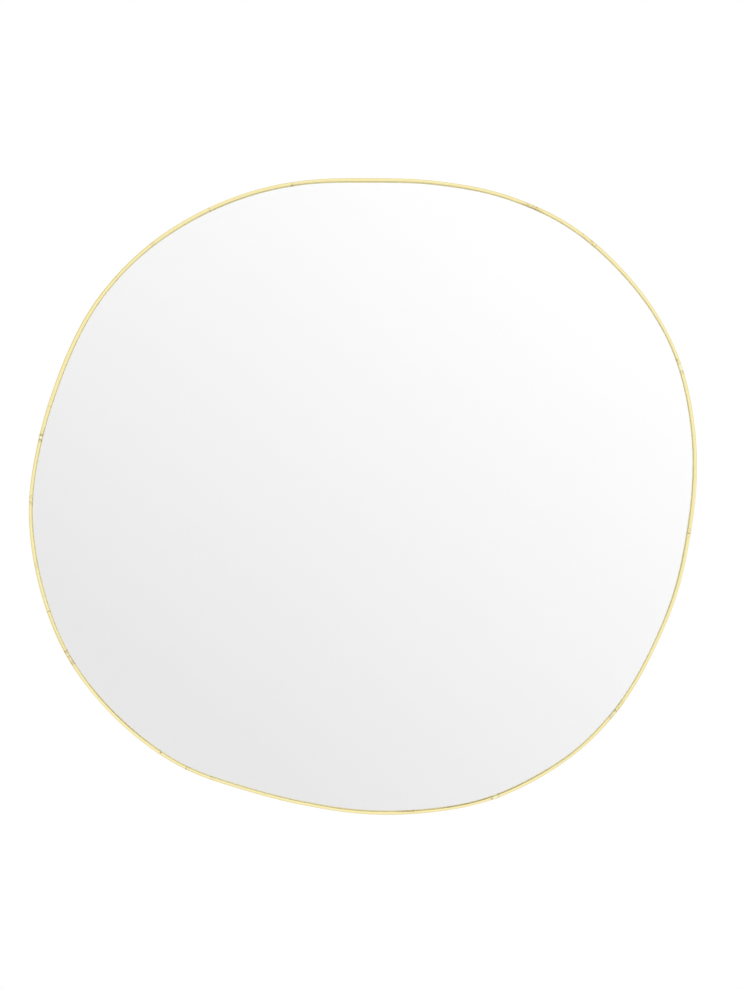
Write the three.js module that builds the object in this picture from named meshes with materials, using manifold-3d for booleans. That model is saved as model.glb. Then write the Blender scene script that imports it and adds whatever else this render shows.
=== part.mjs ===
// A wall mirror of soft irregular outline in a thin hand-bent brass rim.
// Millimetres. +X is to the viewer's right, +Z is up, the wall is the plane Y = 0 and the glass faces -Y.
import * as THREE from 'three';
import { mergeVertices } from 'three/addons/utils/BufferGeometryUtils.js';
import Module from 'manifold-3d';

const wasm = await Module();
wasm.setup();

// ---- Driving dimensions ----

// The rim's outer edge, as points that a smooth closed curve runs through, [x, z] from the middle.
// It is hand bent: flatter and rounder stretches follow each other, with a slight bend at each joint.
const outlinePoints = [
  [398, 0], [398, 72], [382, 155], [351, 220], [302, 281], [241, 330], [170, 361.5], [91, 377],
  [9, 381], [-80.5, 377], [-145, 361.5], [-211, 332], [-261, 298], [-315, 241.5], [-373, 123],
  [-388, 71], [-400, -12], [-388, -107.5], [-355.5, -191], [-300, -262.5], [-218, -324],
  [-139, -353], [-69, -370.5], [-4, -380], [68, -379.5], [158.5, -361.5], [211, -337],
  [265.5, -298.5], [301, -261.5], [354.5, -171], [374.5, -121], [392, -45],
];
// Where the rim's stretches are brazed together: the outline point, and the length of the brazed
// knuckle and how far it stands proud of the bead. No two joints came out alike.
const rimJoints = [
  { point: 2, length: 8, swell: 0.15 },
  { point: 9, length: 3, swell: 0.1 },
  { point: 15, length: 5, swell: 0.45 },
  { point: 18, length: 4, swell: 0.2 },
  { point: 25, length: 7, swell: 0.35 },
  { point: 28, length: 10, swell: 0.3 },
];
const sheetSides = 144; // straight sides that stand for a sheet's round edge
const rimStep = 18; // length of one straight side along the rim

const bumperHeight = 6;
const boardThickness = 9;
const tapeThickness = 1;
const coatingThickness = 0.3;
const glassThickness = 4;
const beadHeight = 2.8; // how far the bead stands in front of the glass
const beadWidth = 5;
const beadLip = 0.6; // upright edge below the bead's round
const bandThickness = 1.2;
const bandToWall = 1.5;
const edgeRoom = 2; // from the rim's outer edge in to the edge of the glass and the board
const seam = 0.3; // hairline left between pieces that are brazed or pressed together

const lugCount = 8;
const lugWidth = 12;
const lugReach = 14;
const lugThickness = 1.2;
const lugUpstand = 3.6;
const lugHoleInset = 8;

const screwHeadRadius = 2.8;
const screwHeadHeight = 1.8;
const screwShankRadius = 1.45;
const screwTipLength = 2;
const screwRecess = { width: 0.8, span: 3.2, depth: 1 };
const lugScrewLength = 8.5;
const hangerScrewLength = 9;
const holeRoom = 0.3; // radial room round a screw's shank

const tapeWidth = 25;
const tapeHeights = [-240, -120, 0, 120, 240];
const tapeEndRoom = 45; // from the rim in to a strip's end

const hangerSpacing = 440; // between the two hangers, middle to middle
const hangerHeight = 180; // of the rings' pivot above the mirror's middle
const strapWidth = 12;
const strapThickness = 1;
const strapLength = 46;
const strapLeafGap = 0.2;
const strapScrewDrops = [27, 39]; // below the pivot
const ringWireRadius = 1.5;
const eyeInnerRadius = 1.85;
const ringHalfWidth = 12.5; // to the middle of the wire
const ringSideDrop = 9; // from the bar to where the round end starts
const ringCornerRadius = 3.5;
const ringGap = 0.4; // between the wire's two ends, in the middle of the bar
const ringRestTilt = 3.2; // degrees that the hanging ring leans off its strap

const bumperRadius = 6;
const bumperBaseRadius = 6.6;
const bumperInset = 34;

// ---- Depths, each the plane at which one layer ends and the next begins ----

const boardBack = -bumperHeight;
const boardFront = boardBack - boardThickness;
const tapeFront = boardFront - tapeThickness;
const glassBack = tapeFront - coatingThickness;
const glassFront = glassBack - glassThickness;

// ---- Materials ----

const finish = (color, roughness, metalness) => new THREE.MeshStandardMaterial({ color, roughness, metalness });
const brass = finish(0xf1e5b0, 0.3, 1);
const brazing = finish(0xe2cf8e, 0.45, 1);
const zinc = finish(0xb9bcbe, 0.35, 1);
const fibreboard = finish(0x9c7b56, 0.9, 0);
const tape = finish(0xe9e6dd, 0.8, 0);
const silver = finish(0xf4f5f5, 0.03, 1);
const glass = finish(0xe8f1ee, 0.02, 0);
glass.transparent = true;
glass.opacity = 0.35;
const rubber = finish(0x2b2b2c, 0.7, 0);

// ---- Helpers ----

function part(name, geometry, material) {
  const mesh = new THREE.Mesh(geometry, material);
  mesh.name = name;
  return mesh;
}

function solidOf(geometry) {
  const bare = geometry.clone();
  bare.deleteAttribute('normal');
  bare.deleteAttribute('uv');
  const merged = mergeVertices(bare);
  const vertProperties = new Float32Array(merged.attributes.position.array);
  const triVerts = new Uint32Array(merged.index.array);
  return new wasm.Manifold(new wasm.Mesh({ numProp: 3, vertProperties, triVerts }));
}

function geometryOf(solid) {
  const { vertProperties, triVerts } = solid.getMesh();
  const geometry = new THREE.BufferGeometry();
  geometry.setAttribute('position', new THREE.BufferAttribute(vertProperties, 3));
  geometry.setIndex(new THREE.BufferAttribute(triVerts, 1));
  geometry.computeVertexNormals();
  return geometry;
}

// A flat shape drawn in X and Z, given a thickness from its own back at Y = 0 towards the viewer.
function plate(shape, thickness, curveSegments = 5) {
  const geometry = new THREE.ExtrudeGeometry(shape, { depth: thickness, curveSegments, bevelEnabled: false });
  return geometry.rotateX(Math.PI / 2);
}

function box(width, depth, height, x, y, z) {
  return new THREE.BoxGeometry(width, depth, height).translate(x, y, z);
}

// A rod along Y, for cutting a hole through a plate.
function rod(radius, length, x, z) {
  return new THREE.CylinderGeometry(radius, radius, length, 12).translate(x, 0, z);
}

// ---- Outline ----

const outline = new THREE.CatmullRomCurve3(
  outlinePoints.map(([x, z]) => new THREE.Vector3(x, 0, z)), true, 'chordal',
);
const lengthStepsPerPoint = 60;
outline.arcLengthDivisions = outlinePoints.length * lengthStepsPerPoint;
const runLengths = outline.getLengths();
const perimeter = outline.getLength();

const fractionAt = (point) => runLengths[point * lengthStepsPerPoint] / perimeter;

// A place beside the outline: a fraction of the way round, so far in from the edge.
function besideOutline(fraction, inset) {
  const wrapped = fraction - Math.floor(fraction);
  const point = outline.getPointAt(wrapped);
  const tangent = outline.getTangentAt(wrapped);
  const outward = new THREE.Vector3(tangent.z, 0, -tangent.x);
  return { point: point.addScaledVector(outward, -inset), outward };
}

// Turns an object's own +X to point straight out of the mirror's edge.
function faceOutward(object, outward) {
  object.rotation.y = Math.atan2(-outward.z, outward.x);
}

// One stretch along the rim at a constant inset and depth.
class RimStretch extends THREE.Curve {
  constructor(from, to, inset, depth) {
    super();
    Object.assign(this, { from, to, inset, depth });
  }

  getPoint(t, target = new THREE.Vector3()) {
    const { point } = besideOutline(THREE.MathUtils.lerp(this.from, this.to, t), this.inset);
    return target.set(point.x, this.depth, point.z);
  }
}

function sheetShape(inset) {
  const points = [];
  for (let side = 0; side < sheetSides; side += 1) {
    const { point } = besideOutline(side / sheetSides, inset);
    points.push(new THREE.Vector2(point.x, point.z));
  }
  return new THREE.Shape(points);
}

// ---- Rim: bead, knuckles and side band ----

// Sections are drawn with their own X towards the viewer and their own Y out of the mirror's edge.
function beadSection() {
  const half = beadWidth / 2;
  const section = new THREE.Shape();
  section.moveTo(0, -half);
  section.lineTo(0, half);
  section.lineTo(beadLip, half);
  section.absellipse(beadLip, 0, beadHeight - beadLip, half, Math.PI / 2, -Math.PI / 2, true);
  return section;
}

function bandSection() {
  const depth = -bandToWall - glassFront;
  const section = new THREE.Shape();
  section.moveTo(0, -bandThickness);
  section.lineTo(depth, -bandThickness);
  section.lineTo(depth, 0);
  section.lineTo(0, 0);
  return section;
}

function rimPiece(section, from, to, inset, depth, curveSegments) {
  const extrudePath = new RimStretch(from, to, inset, depth);
  const steps = Math.round(((to - from) * perimeter) / rimStep);
  return new THREE.ExtrudeGeometry(section, { steps, curveSegments, extrudePath });
}

// Half of a small barrel lying along its own Z, swollen in the middle, with its flat back at Y = 0.
function knuckleGeometry({ length, swell }) {
  const ringsAlong = 6;
  const profile = [new THREE.Vector2(0, -length / 2)];
  for (let ring = 0; ring <= ringsAlong; ring += 1) {
    const along = (ring / ringsAlong - 0.5) * length;
    const proud = swell * Math.cos((along / length) * Math.PI);
    profile.push(new THREE.Vector2(beadWidth / 2 + proud, along));
  }
  profile.push(new THREE.Vector2(0, length / 2));
  const barrel = new THREE.LatheGeometry(profile, 16);
  barrel.rotateX(Math.PI / 2);
  barrel.scale(1, (beadHeight + swell) / (beadWidth / 2 + swell), 1);
  const behind = box(4 * beadWidth, 2 * beadWidth, 4 * length, 0, beadWidth, 0);
  return geometryOf(solidOf(barrel).subtract(solidOf(behind)));
}

function rim() {
  const group = new THREE.Group();
  const bead = beadSection();
  const band = bandSection();
  const setBack = ({ length }) => (length / 2 + seam) / perimeter;
  const bandSetBack = seam / 2 / perimeter;
  rimJoints.forEach((joint, index) => {
    const number = index + 1;
    const next = rimJoints[number % rimJoints.length];
    const from = fractionAt(joint.point);
    const to = fractionAt(next.point) + (next.point < joint.point ? 1 : 0);
    const beadRun = rimPiece(bead, from + setBack(joint), to - setBack(next), beadWidth / 2, glassFront, 4);
    group.add(part(`rim_bead_${number}`, beadRun, brass));
    const bandRun = rimPiece(band, from + bandSetBack, to - bandSetBack, 0, -bandToWall, 1);
    group.add(part(`rim_band_${number}`, bandRun, brass));
    const knuckleMesh = part(`rim_knuckle_${number}`, knuckleGeometry(joint), brazing);
    const { point, outward } = besideOutline(from, beadWidth / 2);
    knuckleMesh.position.set(point.x, glassFront, point.z);
    faceOutward(knuckleMesh, outward);
    group.add(knuckleMesh);
  });
  return group;
}

// ---- Screws ----

// A pan-head screw driven towards the viewer: the head's underside is at Y = 0 and its top faces the wall.
function screwGeometry(length) {
  const shoulder = screwHeadHeight * 0.55;
  const profile = [
    [0, -length],
    [screwShankRadius, screwTipLength - length],
    [screwShankRadius, 0],
    [screwHeadRadius, 0],
    [screwHeadRadius, shoulder],
    [screwHeadRadius * 0.8, screwHeadHeight * 0.93],
    [0, screwHeadHeight],
  ].map(([radius, along]) => new THREE.Vector2(radius, along));
  const body = solidOf(new THREE.LatheGeometry(profile, 16));
  const { width, span, depth } = screwRecess;
  const slots = solidOf(box(span, 2 * depth, width, 0, screwHeadHeight, 0))
    .add(solidOf(box(width, 2 * depth, span, 0, screwHeadHeight, 0)));
  return geometryOf(body.subtract(slots));
}

// ---- Lugs that clamp the rim to the board ----

// A leaf flat on the board with a round end, and an upstand along the inside of the band.
function lugGeometry() {
  const half = lugWidth / 2;
  const outer = -(bandThickness + seam);
  const leaf = new THREE.Shape();
  leaf.moveTo(outer, -half);
  leaf.lineTo(outer, half);
  leaf.lineTo(outer - lugReach + half, half);
  leaf.absarc(outer - lugReach + half, 0, half, Math.PI / 2, Math.PI * 1.5, false);
  const base = solidOf(plate(leaf, lugThickness, 6).translate(0, lugThickness, 0));
  const upright = box(lugThickness, lugUpstand, lugWidth, outer - lugThickness / 2, lugUpstand / 2, 0);
  const hole = rod(screwShankRadius + holeRoom, 4 * lugThickness, outer - lugHoleInset, 0);
  return geometryOf(base.add(solidOf(upright)).subtract(solidOf(hole)));
}

const lugFractions = Array.from({ length: lugCount }, (_, index) => (index + 0.5) / lugCount);
const lugHoleFromEdge = bandThickness + seam + lugHoleInset;

function lugs() {
  const group = new THREE.Group();
  const lug = lugGeometry();
  const screw = screwGeometry(lugScrewLength);
  lugFractions.forEach((fraction, index) => {
    const edge = besideOutline(fraction, 0);
    const lugMesh = part(`rim_lug_${index + 1}`, lug, brass);
    lugMesh.position.set(edge.point.x, boardBack, edge.point.z);
    faceOutward(lugMesh, edge.outward);
    const { point } = besideOutline(fraction, lugHoleFromEdge);
    const screwMesh = part(`lug_screw_${index + 1}`, screw, zinc);
    screwMesh.position.set(point.x, boardBack + lugThickness, point.z);
    group.add(lugMesh, screwMesh);
  });
  return group;
}

// ---- Hangers ----

const strapDepth = 2 * strapThickness + strapLeafGap;
const eyeRadius = eyeInnerRadius + strapThickness / 2; // to the middle of the folded strip
const pivotDepth = eyeInnerRadius + strapThickness; // of the ring's bar, off the board
const hangerSides = [['left', -hangerSpacing / 2], ['right', hangerSpacing / 2]];

// The folded strip seen from its edge: [off the board, up], up the leaf on the board, round the eye
// and down the outer leaf.
function strapRun() {
  const eyeSteps = 10;
  const eyeEnd = -Math.PI / 3;
  const run = [[strapThickness / 2, -strapLength]];
  for (let step = 0; step <= eyeSteps; step += 1) {
    const angle = THREE.MathUtils.lerp(Math.PI, eyeEnd, step / eyeSteps);
    run.push([pivotDepth + eyeRadius * Math.cos(angle), eyeRadius * Math.sin(angle)]);
  }
  const outerLeaf = strapThickness * 1.5 + strapLeafGap;
  const [lastOff, lastUp] = run[run.length - 1];
  run.push([outerLeaf, lastUp - (lastOff - outerLeaf) * Math.tan(Math.PI / 6)]);
  run.push([outerLeaf, -strapLength]);
  return run.map(([off, up]) => new THREE.Vector2(off, up));
}

// The outline of a strip of even thickness along a run of points.
function stripShape(run, thickness) {
  const left = [];
  const right = [];
  run.forEach((point, index) => {
    const before = run[Math.max(index - 1, 0)];
    const after = run[Math.min(index + 1, run.length - 1)];
    const arriving = point.clone().sub(before).normalize();
    const leaving = after.clone().sub(point).normalize();
    const along = arriving.clone().add(leaving).normalize();
    const across = new THREE.Vector2(-along.y, along.x);
    const straight = arriving.lengthSq() > 0 ? arriving : leaving;
    const reach = thickness / 2 / Math.abs(across.dot(new THREE.Vector2(-straight.y, straight.x)));
    left.push(point.clone().addScaledVector(across, reach));
    right.unshift(point.clone().addScaledVector(across, -reach));
  });
  return new THREE.Shape([...left, ...right]);
}

// The strap, with the pivot of its eye at the origin's height and its back at Y = 0.
function strapGeometry() {
  const strip = new THREE.ExtrudeGeometry(stripShape(strapRun(), strapThickness), {
    depth: strapWidth, bevelEnabled: false,
  });
  // the drawing's X (off the board) becomes +Y and its Y (up) becomes +Z
  const toPlace = new THREE.Matrix4().makeBasis(
    new THREE.Vector3(0, 1, 0), new THREE.Vector3(0, 0, 1), new THREE.Vector3(1, 0, 0),
  );
  let strap = solidOf(strip.translate(0, 0, -strapWidth / 2).applyMatrix4(toPlace));
  strapScrewDrops.forEach((drop) => {
    strap = strap.subtract(solidOf(rod(screwShankRadius + holeRoom, 4 * strapDepth, 0, -drop)));
  });
  return geometryOf(strap);
}

// The ring's wire as a flat D, hanging from a bar along X through the origin.
class RingWire extends THREE.Curve {
  constructor() {
    super();
    const barEnd = ringHalfWidth - ringCornerRadius;
    const turn = Math.PI / 2;
    this.flat = new THREE.Path();
    this.flat.moveTo(ringGap / 2, 0);
    this.flat.lineTo(barEnd, 0);
    this.flat.absarc(barEnd, -ringCornerRadius, ringCornerRadius, turn, 0, true);
    this.flat.lineTo(ringHalfWidth, -ringSideDrop);
    this.flat.absarc(0, -ringSideDrop, ringHalfWidth, 0, -2 * turn, true);
    this.flat.lineTo(-ringHalfWidth, -ringCornerRadius);
    this.flat.absarc(-barEnd, -ringCornerRadius, ringCornerRadius, 2 * turn, turn, true);
    this.flat.lineTo(-ringGap / 2, 0);
  }

  getPoint(t, target = new THREE.Vector3()) {
    const { x, y } = this.flat.getPoint(t);
    return target.set(x, 0, y);
  }
}

function ringGeometry() {
  const wireSection = new THREE.Shape().absarc(0, 0, ringWireRadius, 0, 2 * Math.PI, false);
  return new THREE.ExtrudeGeometry(wireSection, { steps: 44, curveSegments: 5, extrudePath: new RingWire() });
}

function hangers() {
  const group = new THREE.Group();
  const strap = strapGeometry();
  const ring = ringGeometry();
  const screw = screwGeometry(hangerScrewLength);
  hangerSides.forEach(([side, x]) => {
    const hanger = new THREE.Group();
    hanger.position.set(x, boardBack, hangerHeight);
    hanger.add(part(`${side}_hanger_strap`, strap, zinc));
    const ringMesh = part(`${side}_hanger_ring`, ring, zinc);
    ringMesh.position.y = pivotDepth;
    ringMesh.rotation.x = THREE.MathUtils.degToRad(ringRestTilt);
    hanger.add(ringMesh);
    strapScrewDrops.forEach((drop, index) => {
      const screwMesh = part(`${side}_hanger_screw_${index + 1}`, screw, zinc);
      screwMesh.position.set(0, strapDepth, -drop);
      hanger.add(screwMesh);
    });
    group.add(hanger);
  });
  return group;
}

// ---- Glass, coating, tape and board ----

function glazing() {
  const group = new THREE.Group();
  const sheet = sheetShape(edgeRoom);
  const glassSheet = part('glass_sheet', plate(sheet, glassThickness), glass);
  glassSheet.position.y = glassBack;
  const coating = part('silver_coating', plate(sheet, coatingThickness), silver);
  coating.position.y = tapeFront;
  group.add(glassSheet, coating);
  return group;
}

// How far the mirror reaches to the left and the right over a strip's height.
function reachAcross(low, high) {
  const edge = outline.getSpacedPoints(720).filter(({ z }) => z >= low && z <= high);
  const leftmost = Math.max(...edge.filter(({ x }) => x < 0).map(({ x }) => x));
  const rightmost = Math.min(...edge.filter(({ x }) => x > 0).map(({ x }) => x));
  return [leftmost, rightmost];
}

function mountingTapes() {
  const group = new THREE.Group();
  tapeHeights.forEach((height, index) => {
    const [left, right] = reachAcross(height - tapeWidth / 2, height + tapeWidth / 2);
    const length = right - left - 2 * tapeEndRoom;
    const middle = (left + right) / 2;
    const strip = box(length, tapeThickness, tapeWidth, middle, 0, height);
    const tapeMesh = part(`mounting_tape_${index + 1}`, strip, tape);
    tapeMesh.position.y = boardFront - tapeThickness / 2;
    group.add(tapeMesh);
  });
  return group;
}

function backingBoard() {
  const sheet = sheetShape(edgeRoom);
  const holeRadius = screwShankRadius + holeRoom;
  const addPilotHole = (x, z) => sheet.holes.push(new THREE.Path().absarc(x, z, holeRadius, 0, 2 * Math.PI, true));
  lugFractions.forEach((fraction) => {
    const { point } = besideOutline(fraction, lugHoleFromEdge);
    addPilotHole(point.x, point.z);
  });
  hangerSides.forEach(([, x]) => strapScrewDrops.forEach((drop) => addPilotHole(x, hangerHeight - drop)));
  const board = part('backing_board', plate(sheet, boardThickness), fibreboard);
  board.position.y = boardBack;
  return board;
}

// ---- Wall bumpers ----

function bumpers() {
  const group = new THREE.Group();
  const geometry = new THREE.CylinderGeometry(bumperRadius, bumperBaseRadius, bumperHeight, 24);
  const count = 4;
  for (let index = 0; index < count; index += 1) {
    const { point } = besideOutline((index + 0.5) / count, bumperInset);
    const bumper = part(`wall_bumper_${index + 1}`, geometry, rubber);
    bumper.position.set(point.x, boardBack + bumperHeight / 2, point.z);
    group.add(bumper);
  }
  return group;
}

// ---- The whole mirror ----

const mirror = new THREE.Group();
mirror.add(rim(), lugs(), hangers(), glazing(), mountingTapes(), backingBoard(), bumpers());

export default mirror;
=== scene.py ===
import logging
import math
import random
from collections.abc import Iterable, Sequence
from dataclasses import dataclass, field
from enum import Enum

import bmesh
import bpy
from bmesh.types import BMesh, BMEdge, BMFace, BMVert
from mathutils import Matrix, Vector, noise


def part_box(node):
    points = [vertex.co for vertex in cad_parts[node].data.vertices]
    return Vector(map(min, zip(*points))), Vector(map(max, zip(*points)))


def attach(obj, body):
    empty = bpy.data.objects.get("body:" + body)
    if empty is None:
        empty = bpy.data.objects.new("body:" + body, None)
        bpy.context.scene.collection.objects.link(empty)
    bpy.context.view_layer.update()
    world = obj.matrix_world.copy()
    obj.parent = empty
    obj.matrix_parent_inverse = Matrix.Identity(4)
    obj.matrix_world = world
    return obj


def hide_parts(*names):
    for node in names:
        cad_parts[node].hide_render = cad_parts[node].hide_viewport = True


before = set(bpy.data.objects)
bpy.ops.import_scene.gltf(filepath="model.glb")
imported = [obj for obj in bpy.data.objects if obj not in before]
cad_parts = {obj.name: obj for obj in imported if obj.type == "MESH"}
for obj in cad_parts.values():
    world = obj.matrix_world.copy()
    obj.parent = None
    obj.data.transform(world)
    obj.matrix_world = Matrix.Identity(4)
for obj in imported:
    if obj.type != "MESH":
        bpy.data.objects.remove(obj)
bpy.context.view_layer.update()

LOG = logging.getLogger("mirror")

MM = 0.001
TOWARD_VIEWER = Vector((0.0, -1.0, 0.0))
GLASS_IOR = 1.52

# Names of the attributes that a piece's mesh carries for its material.
LIE = "lie"  # metres along the metal strip and across it
# this attribute also carries painted shade: some scorch marks darken the bead's inner foot, in the corner
# against the glass where shadow falls
HEAT_AND_SHADE = "torched_and_shaded"  # 0 to 1, how far brazing heat has browned the brass (Cycles keeps "heat" for smoke)
PITS = "pits"  # 0 to 1, how many pits and specks the brass has

# Sockets of the Mix node for colours, which has one name for several of them.
MIX_FACTOR, MIX_FIRST, MIX_SECOND, MIX_COLOUR = 0, 6, 7, 2

Inputs = dict[str | int, object]  # what goes to a node's inputs, by their names or numbers


class Body(Enum):
    """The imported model's moving bodies."""

    MIRROR = "mirror"
    LEFT_RING = "left_ring"
    RIGHT_RING = "right_ring"


class Side(Enum):
    """The two hangers, by the side they are on as seen from the front."""

    LEFT = "left"
    RIGHT = "right"

    @property
    def ring_body(self) -> Body:
        """The body that this side's ring swings with."""
        return Body(f"{self.value}_ring")


class MarkKind(Enum):
    """What handwork has left on the brass bead, and painted shade along its inner foot."""

    SEAM = "seam"  # a filed joint, a hairline across the bead
    # browned by the torch; some of these marks are painted shade instead, laid along the bead's inner foot
    # where shadow falls against the glass
    SCORCH_AND_SHADE = "scorch"  # browned by the torch
    PITTED = "pitted"  # small pits and specks
    LUMP = "lump"  # a low blob of braze, rubbed bright
    FLAT = "flat"  # a stretch rubbed flatter and lighter


# ---------------------------------------------------------------- materials


def linear(colour: str) -> tuple[float, float, float, float]:
    """Turns an sRGB hex colour to Blender's linear one.

    Args:
        colour: The colour as "#RRGGBB".

    Returns:
        Linear red, green and blue, and 1 for solid.
    """
    channels = []
    for start in (1, 3, 5):
        level = int(colour[start : start + 2], 16) / 255
        channels.append(level / 12.92 if level <= 0.04045 else ((level + 0.055) / 1.055) ** 2.4)
    return (*channels, 1.0)


def feed(node: bpy.types.Node, inputs: Inputs) -> None:
    """Fills a node's inputs.

    Args:
        node: The node.
        inputs: What goes to each input. A socket is linked, anything else is set.
    """
    for name, value in inputs.items():
        if isinstance(value, bpy.types.NodeSocket):
            node.id_data.links.new(value, node.inputs[name])
        else:
            node.inputs[name].default_value = value


def add_node(
    tree: bpy.types.NodeTree, kind: str, inputs: Inputs | None = None, **settings: object
) -> bpy.types.Node:
    """Adds a node with its settings, values and links.

    Args:
        tree: The node tree to add to.
        kind: The node's type name, after "ShaderNode".
        inputs: What goes to its inputs.
        **settings: The node's own properties.

    Returns:
        The new node.
    """
    node = tree.nodes.new("ShaderNode" + kind)
    for name, value in settings.items():
        setattr(node, name, value)
    feed(node, inputs or {})
    return node


@dataclass(frozen=True)
class Finish:
    """A real finish of this mirror. Each kind works out its own look."""

    name: str

    def build(self) -> bpy.types.Material:
        """Makes the material, named for the finish."""
        material = bpy.data.materials.new(self.name)
        material.use_nodes = True
        tree = material.node_tree
        place = add_node(tree, "TexCoord").outputs["Object"]
        feed(tree.nodes["Principled BSDF"], self.look(tree, place))
        return material

    def look(self, tree: bpy.types.NodeTree, place: bpy.types.NodeSocket) -> Inputs:
        """Works out what goes to the shader's inputs.

        Args:
            tree: The material's node tree.
            place: The place on the piece, in metres.

        Returns:
            The shader's inputs that this finish fills.
        """
        raise NotImplementedError


@dataclass(frozen=True)
class RubbedBrass(Finish):
    """Half-round brass strip, drawn through a die, bent and brazed by hand and rubbed to a satin sheen.

    The eye sees a pale gold metal with soft-edged reflections drawn out along the strip, browner and
    duller where the torch has been, and small dark pits there. The same brown is also laid along the
    bead's inner foot as painted shade, where it meets the glass.
    """

    colour: str = "#FAEEB8"
    deeper: str = "#F8EAAC"
    # the colour of the torch's browning, and of the painted shade along the bead's inner foot
    browned: str = "#A0824A"
    pit_colour: str = "#A8864A"
    roughness: tuple[float, float] = (0.15, 0.29)  # least and most, as the scratches go
    dulling: float = 0.3  # how much rougher browned metal is
    scratch_length: float = 22 * MM
    scratch_spacing: float = 0.35 * MM  # drawn coarser than the real 0.05 mm, so that it shows
    scratch_depth: float = 0.004 * MM
    tone_size: float = 9 * MM
    dent_size: float = 7 * MM
    dent_depth: float = 0.05 * MM
    blotch_size: float = 2.4 * MM
    blotch_browning: tuple[float, float] = (0.35, 1.25)  # how far heat browns the least and the most
    pit_size: float = 1.8 * MM  # the largest pits, which are all that show in the render
    pit_depth: float = 0.04 * MM
    pit_start: float = 0.85  # the noise above which clean brass would have a pit
    pit_spread: float = 0.4  # how far full pitting brings that down
    pit_edge: float = 3.0  # how sharp a pit's edge is

    def look(self, tree: bpy.types.NodeTree, place: bpy.types.NodeSocket) -> Inputs:
        """Works out what goes to the shader's inputs.

        Args:
            tree: The material's node tree.
            place: The place on the piece, in metres.

        Returns:
            The shader's inputs that this finish fills.
        """
        lie = add_node(tree, "Attribute", attribute_name=LIE).outputs["Vector"]
        # the browning attribute holds brazing heat, and painted shade where scorch marks lie along the bead's
        # inner foot
        heat, pits = (
            add_node(tree, "Attribute", attribute_name=name).outputs["Fac"] for name in (HEAT_AND_SHADE, PITS)
        )
        drawn = add_node(tree, "Mapping", {
            "Vector": lie, "Scale": (1 / self.scratch_length, 1 / self.scratch_spacing, 1.0),
        })
        scratches = add_node(tree, "TexNoise", {
            "Vector": drawn.outputs[0], "Scale": 1.0, "Detail": 4.0,
        }).outputs["Fac"]
        tone, specks, blotch, dents = (
            add_node(tree, "TexNoise", {"Vector": place, "Scale": 1 / size, "Detail": detail}).outputs["Fac"]
            for size, detail in (
                (self.tone_size, 3.0), (self.pit_size, 2.0), (self.blotch_size, 3.0), (self.dent_size, 1.0),
            )
        )
        # heat browns some spots more than others
        ragged = add_node(tree, "MapRange", {
            "Value": blotch, "From Min": 0.3, "From Max": 0.65,
            "To Min": self.blotch_browning[0], "To Max": self.blotch_browning[1],
        })
        browning = add_node(
            tree, "Math", {0: heat, 1: ragged.outputs[0]}, operation="MULTIPLY", use_clamp=True,
        ).outputs[0]
        # the more pits, the lower the noise at which one starts
        threshold = add_node(
            tree, "Math", {0: pits, 1: -self.pit_spread, 2: self.pit_start}, operation="MULTIPLY_ADD",
        )
        pitted = add_node(tree, "MapRange", {
            "Value": specks, "From Min": threshold.outputs[0], "From Max": 0.9,
        })
        pitting = add_node(
            tree, "Math", {0: pitted.outputs[0], 1: self.pit_edge}, operation="MULTIPLY", use_clamp=True,
        ).outputs[0]
        colour = linear(self.colour)
        for share, other in ((tone, self.deeper), (browning, self.browned), (pitting, self.pit_colour)):
            colour = add_node(tree, "Mix", {
                MIX_FACTOR: share, MIX_FIRST: colour, MIX_SECOND: linear(other),
            }, data_type="RGBA").outputs[MIX_COLOUR]
        sheen = add_node(tree, "MapRange", {
            "Value": scratches, "From Min": 0.3, "From Max": 0.7,
            "To Min": self.roughness[0], "To Max": self.roughness[1],
        })
        dulled = add_node(
            tree, "Math", {0: browning, 1: self.dulling, 2: sheen.outputs[0]}, operation="MULTIPLY_ADD",
        )
        relief: Inputs = {}
        for height, depth, sunk in (
            (scratches, self.scratch_depth, False), (dents, self.dent_depth, False),
            (pitting, self.pit_depth, True),
        ):
            bump = add_node(tree, "Bump", {
                "Height": height, "Distance": depth, "Strength": 1.0, **relief,
            }, invert=sunk)
            relief = {"Normal": bump.outputs[0]}
        return {"Base Color": colour, "Roughness": dulled.outputs[0], "Metallic": 1.0, **relief}


@dataclass(frozen=True)
class FiledBraze(Finish):
    """Brazing alloy that was run into a joint and filed back, paler and grainier than the brass strip."""

    colour: str = "#FBF4C4"
    browned: str = "#A0824A"
    roughness: float = 0.2
    dulling: float = 0.3  # how much rougher browned metal is
    grain_size: float = 0.9 * MM
    grain_depth: float = 0.05 * MM
    blotch_size: float = 3 * MM

    def look(self, tree: bpy.types.NodeTree, place: bpy.types.NodeSocket) -> Inputs:
        """Works out what goes to the shader's inputs.

        Args:
            tree: The material's node tree.
            place: The place on the piece, in metres.

        Returns:
            The shader's inputs that this finish fills.
        """
        heat = add_node(tree, "Attribute", attribute_name=HEAT_AND_SHADE).outputs["Fac"]
        blotch, grain = (
            add_node(tree, "TexNoise", {"Vector": place, "Scale": 1 / size, "Detail": 3.0}).outputs["Fac"]
            for size in (self.blotch_size, self.grain_size)
        )
        ragged = add_node(tree, "Math", {0: blotch, 1: 0.8, 2: 0.6}, operation="MULTIPLY_ADD")
        browning = add_node(
            tree, "Math", {0: heat, 1: ragged.outputs[0]}, operation="MULTIPLY", use_clamp=True,
        ).outputs[0]
        metal = add_node(tree, "Mix", {
            MIX_FACTOR: browning, MIX_FIRST: linear(self.colour), MIX_SECOND: linear(self.browned),
        }, data_type="RGBA")
        dulled = add_node(
            tree, "Math", {0: browning, 1: self.dulling, 2: self.roughness}, operation="MULTIPLY_ADD",
        )
        filed = add_node(tree, "Bump", {"Height": grain, "Distance": self.grain_depth, "Strength": 1.0})
        return {
            "Base Color": metal.outputs[MIX_COLOUR], "Roughness": dulled.outputs[0],
            "Normal": filed.outputs[0], "Metallic": 1.0,
        }


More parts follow.
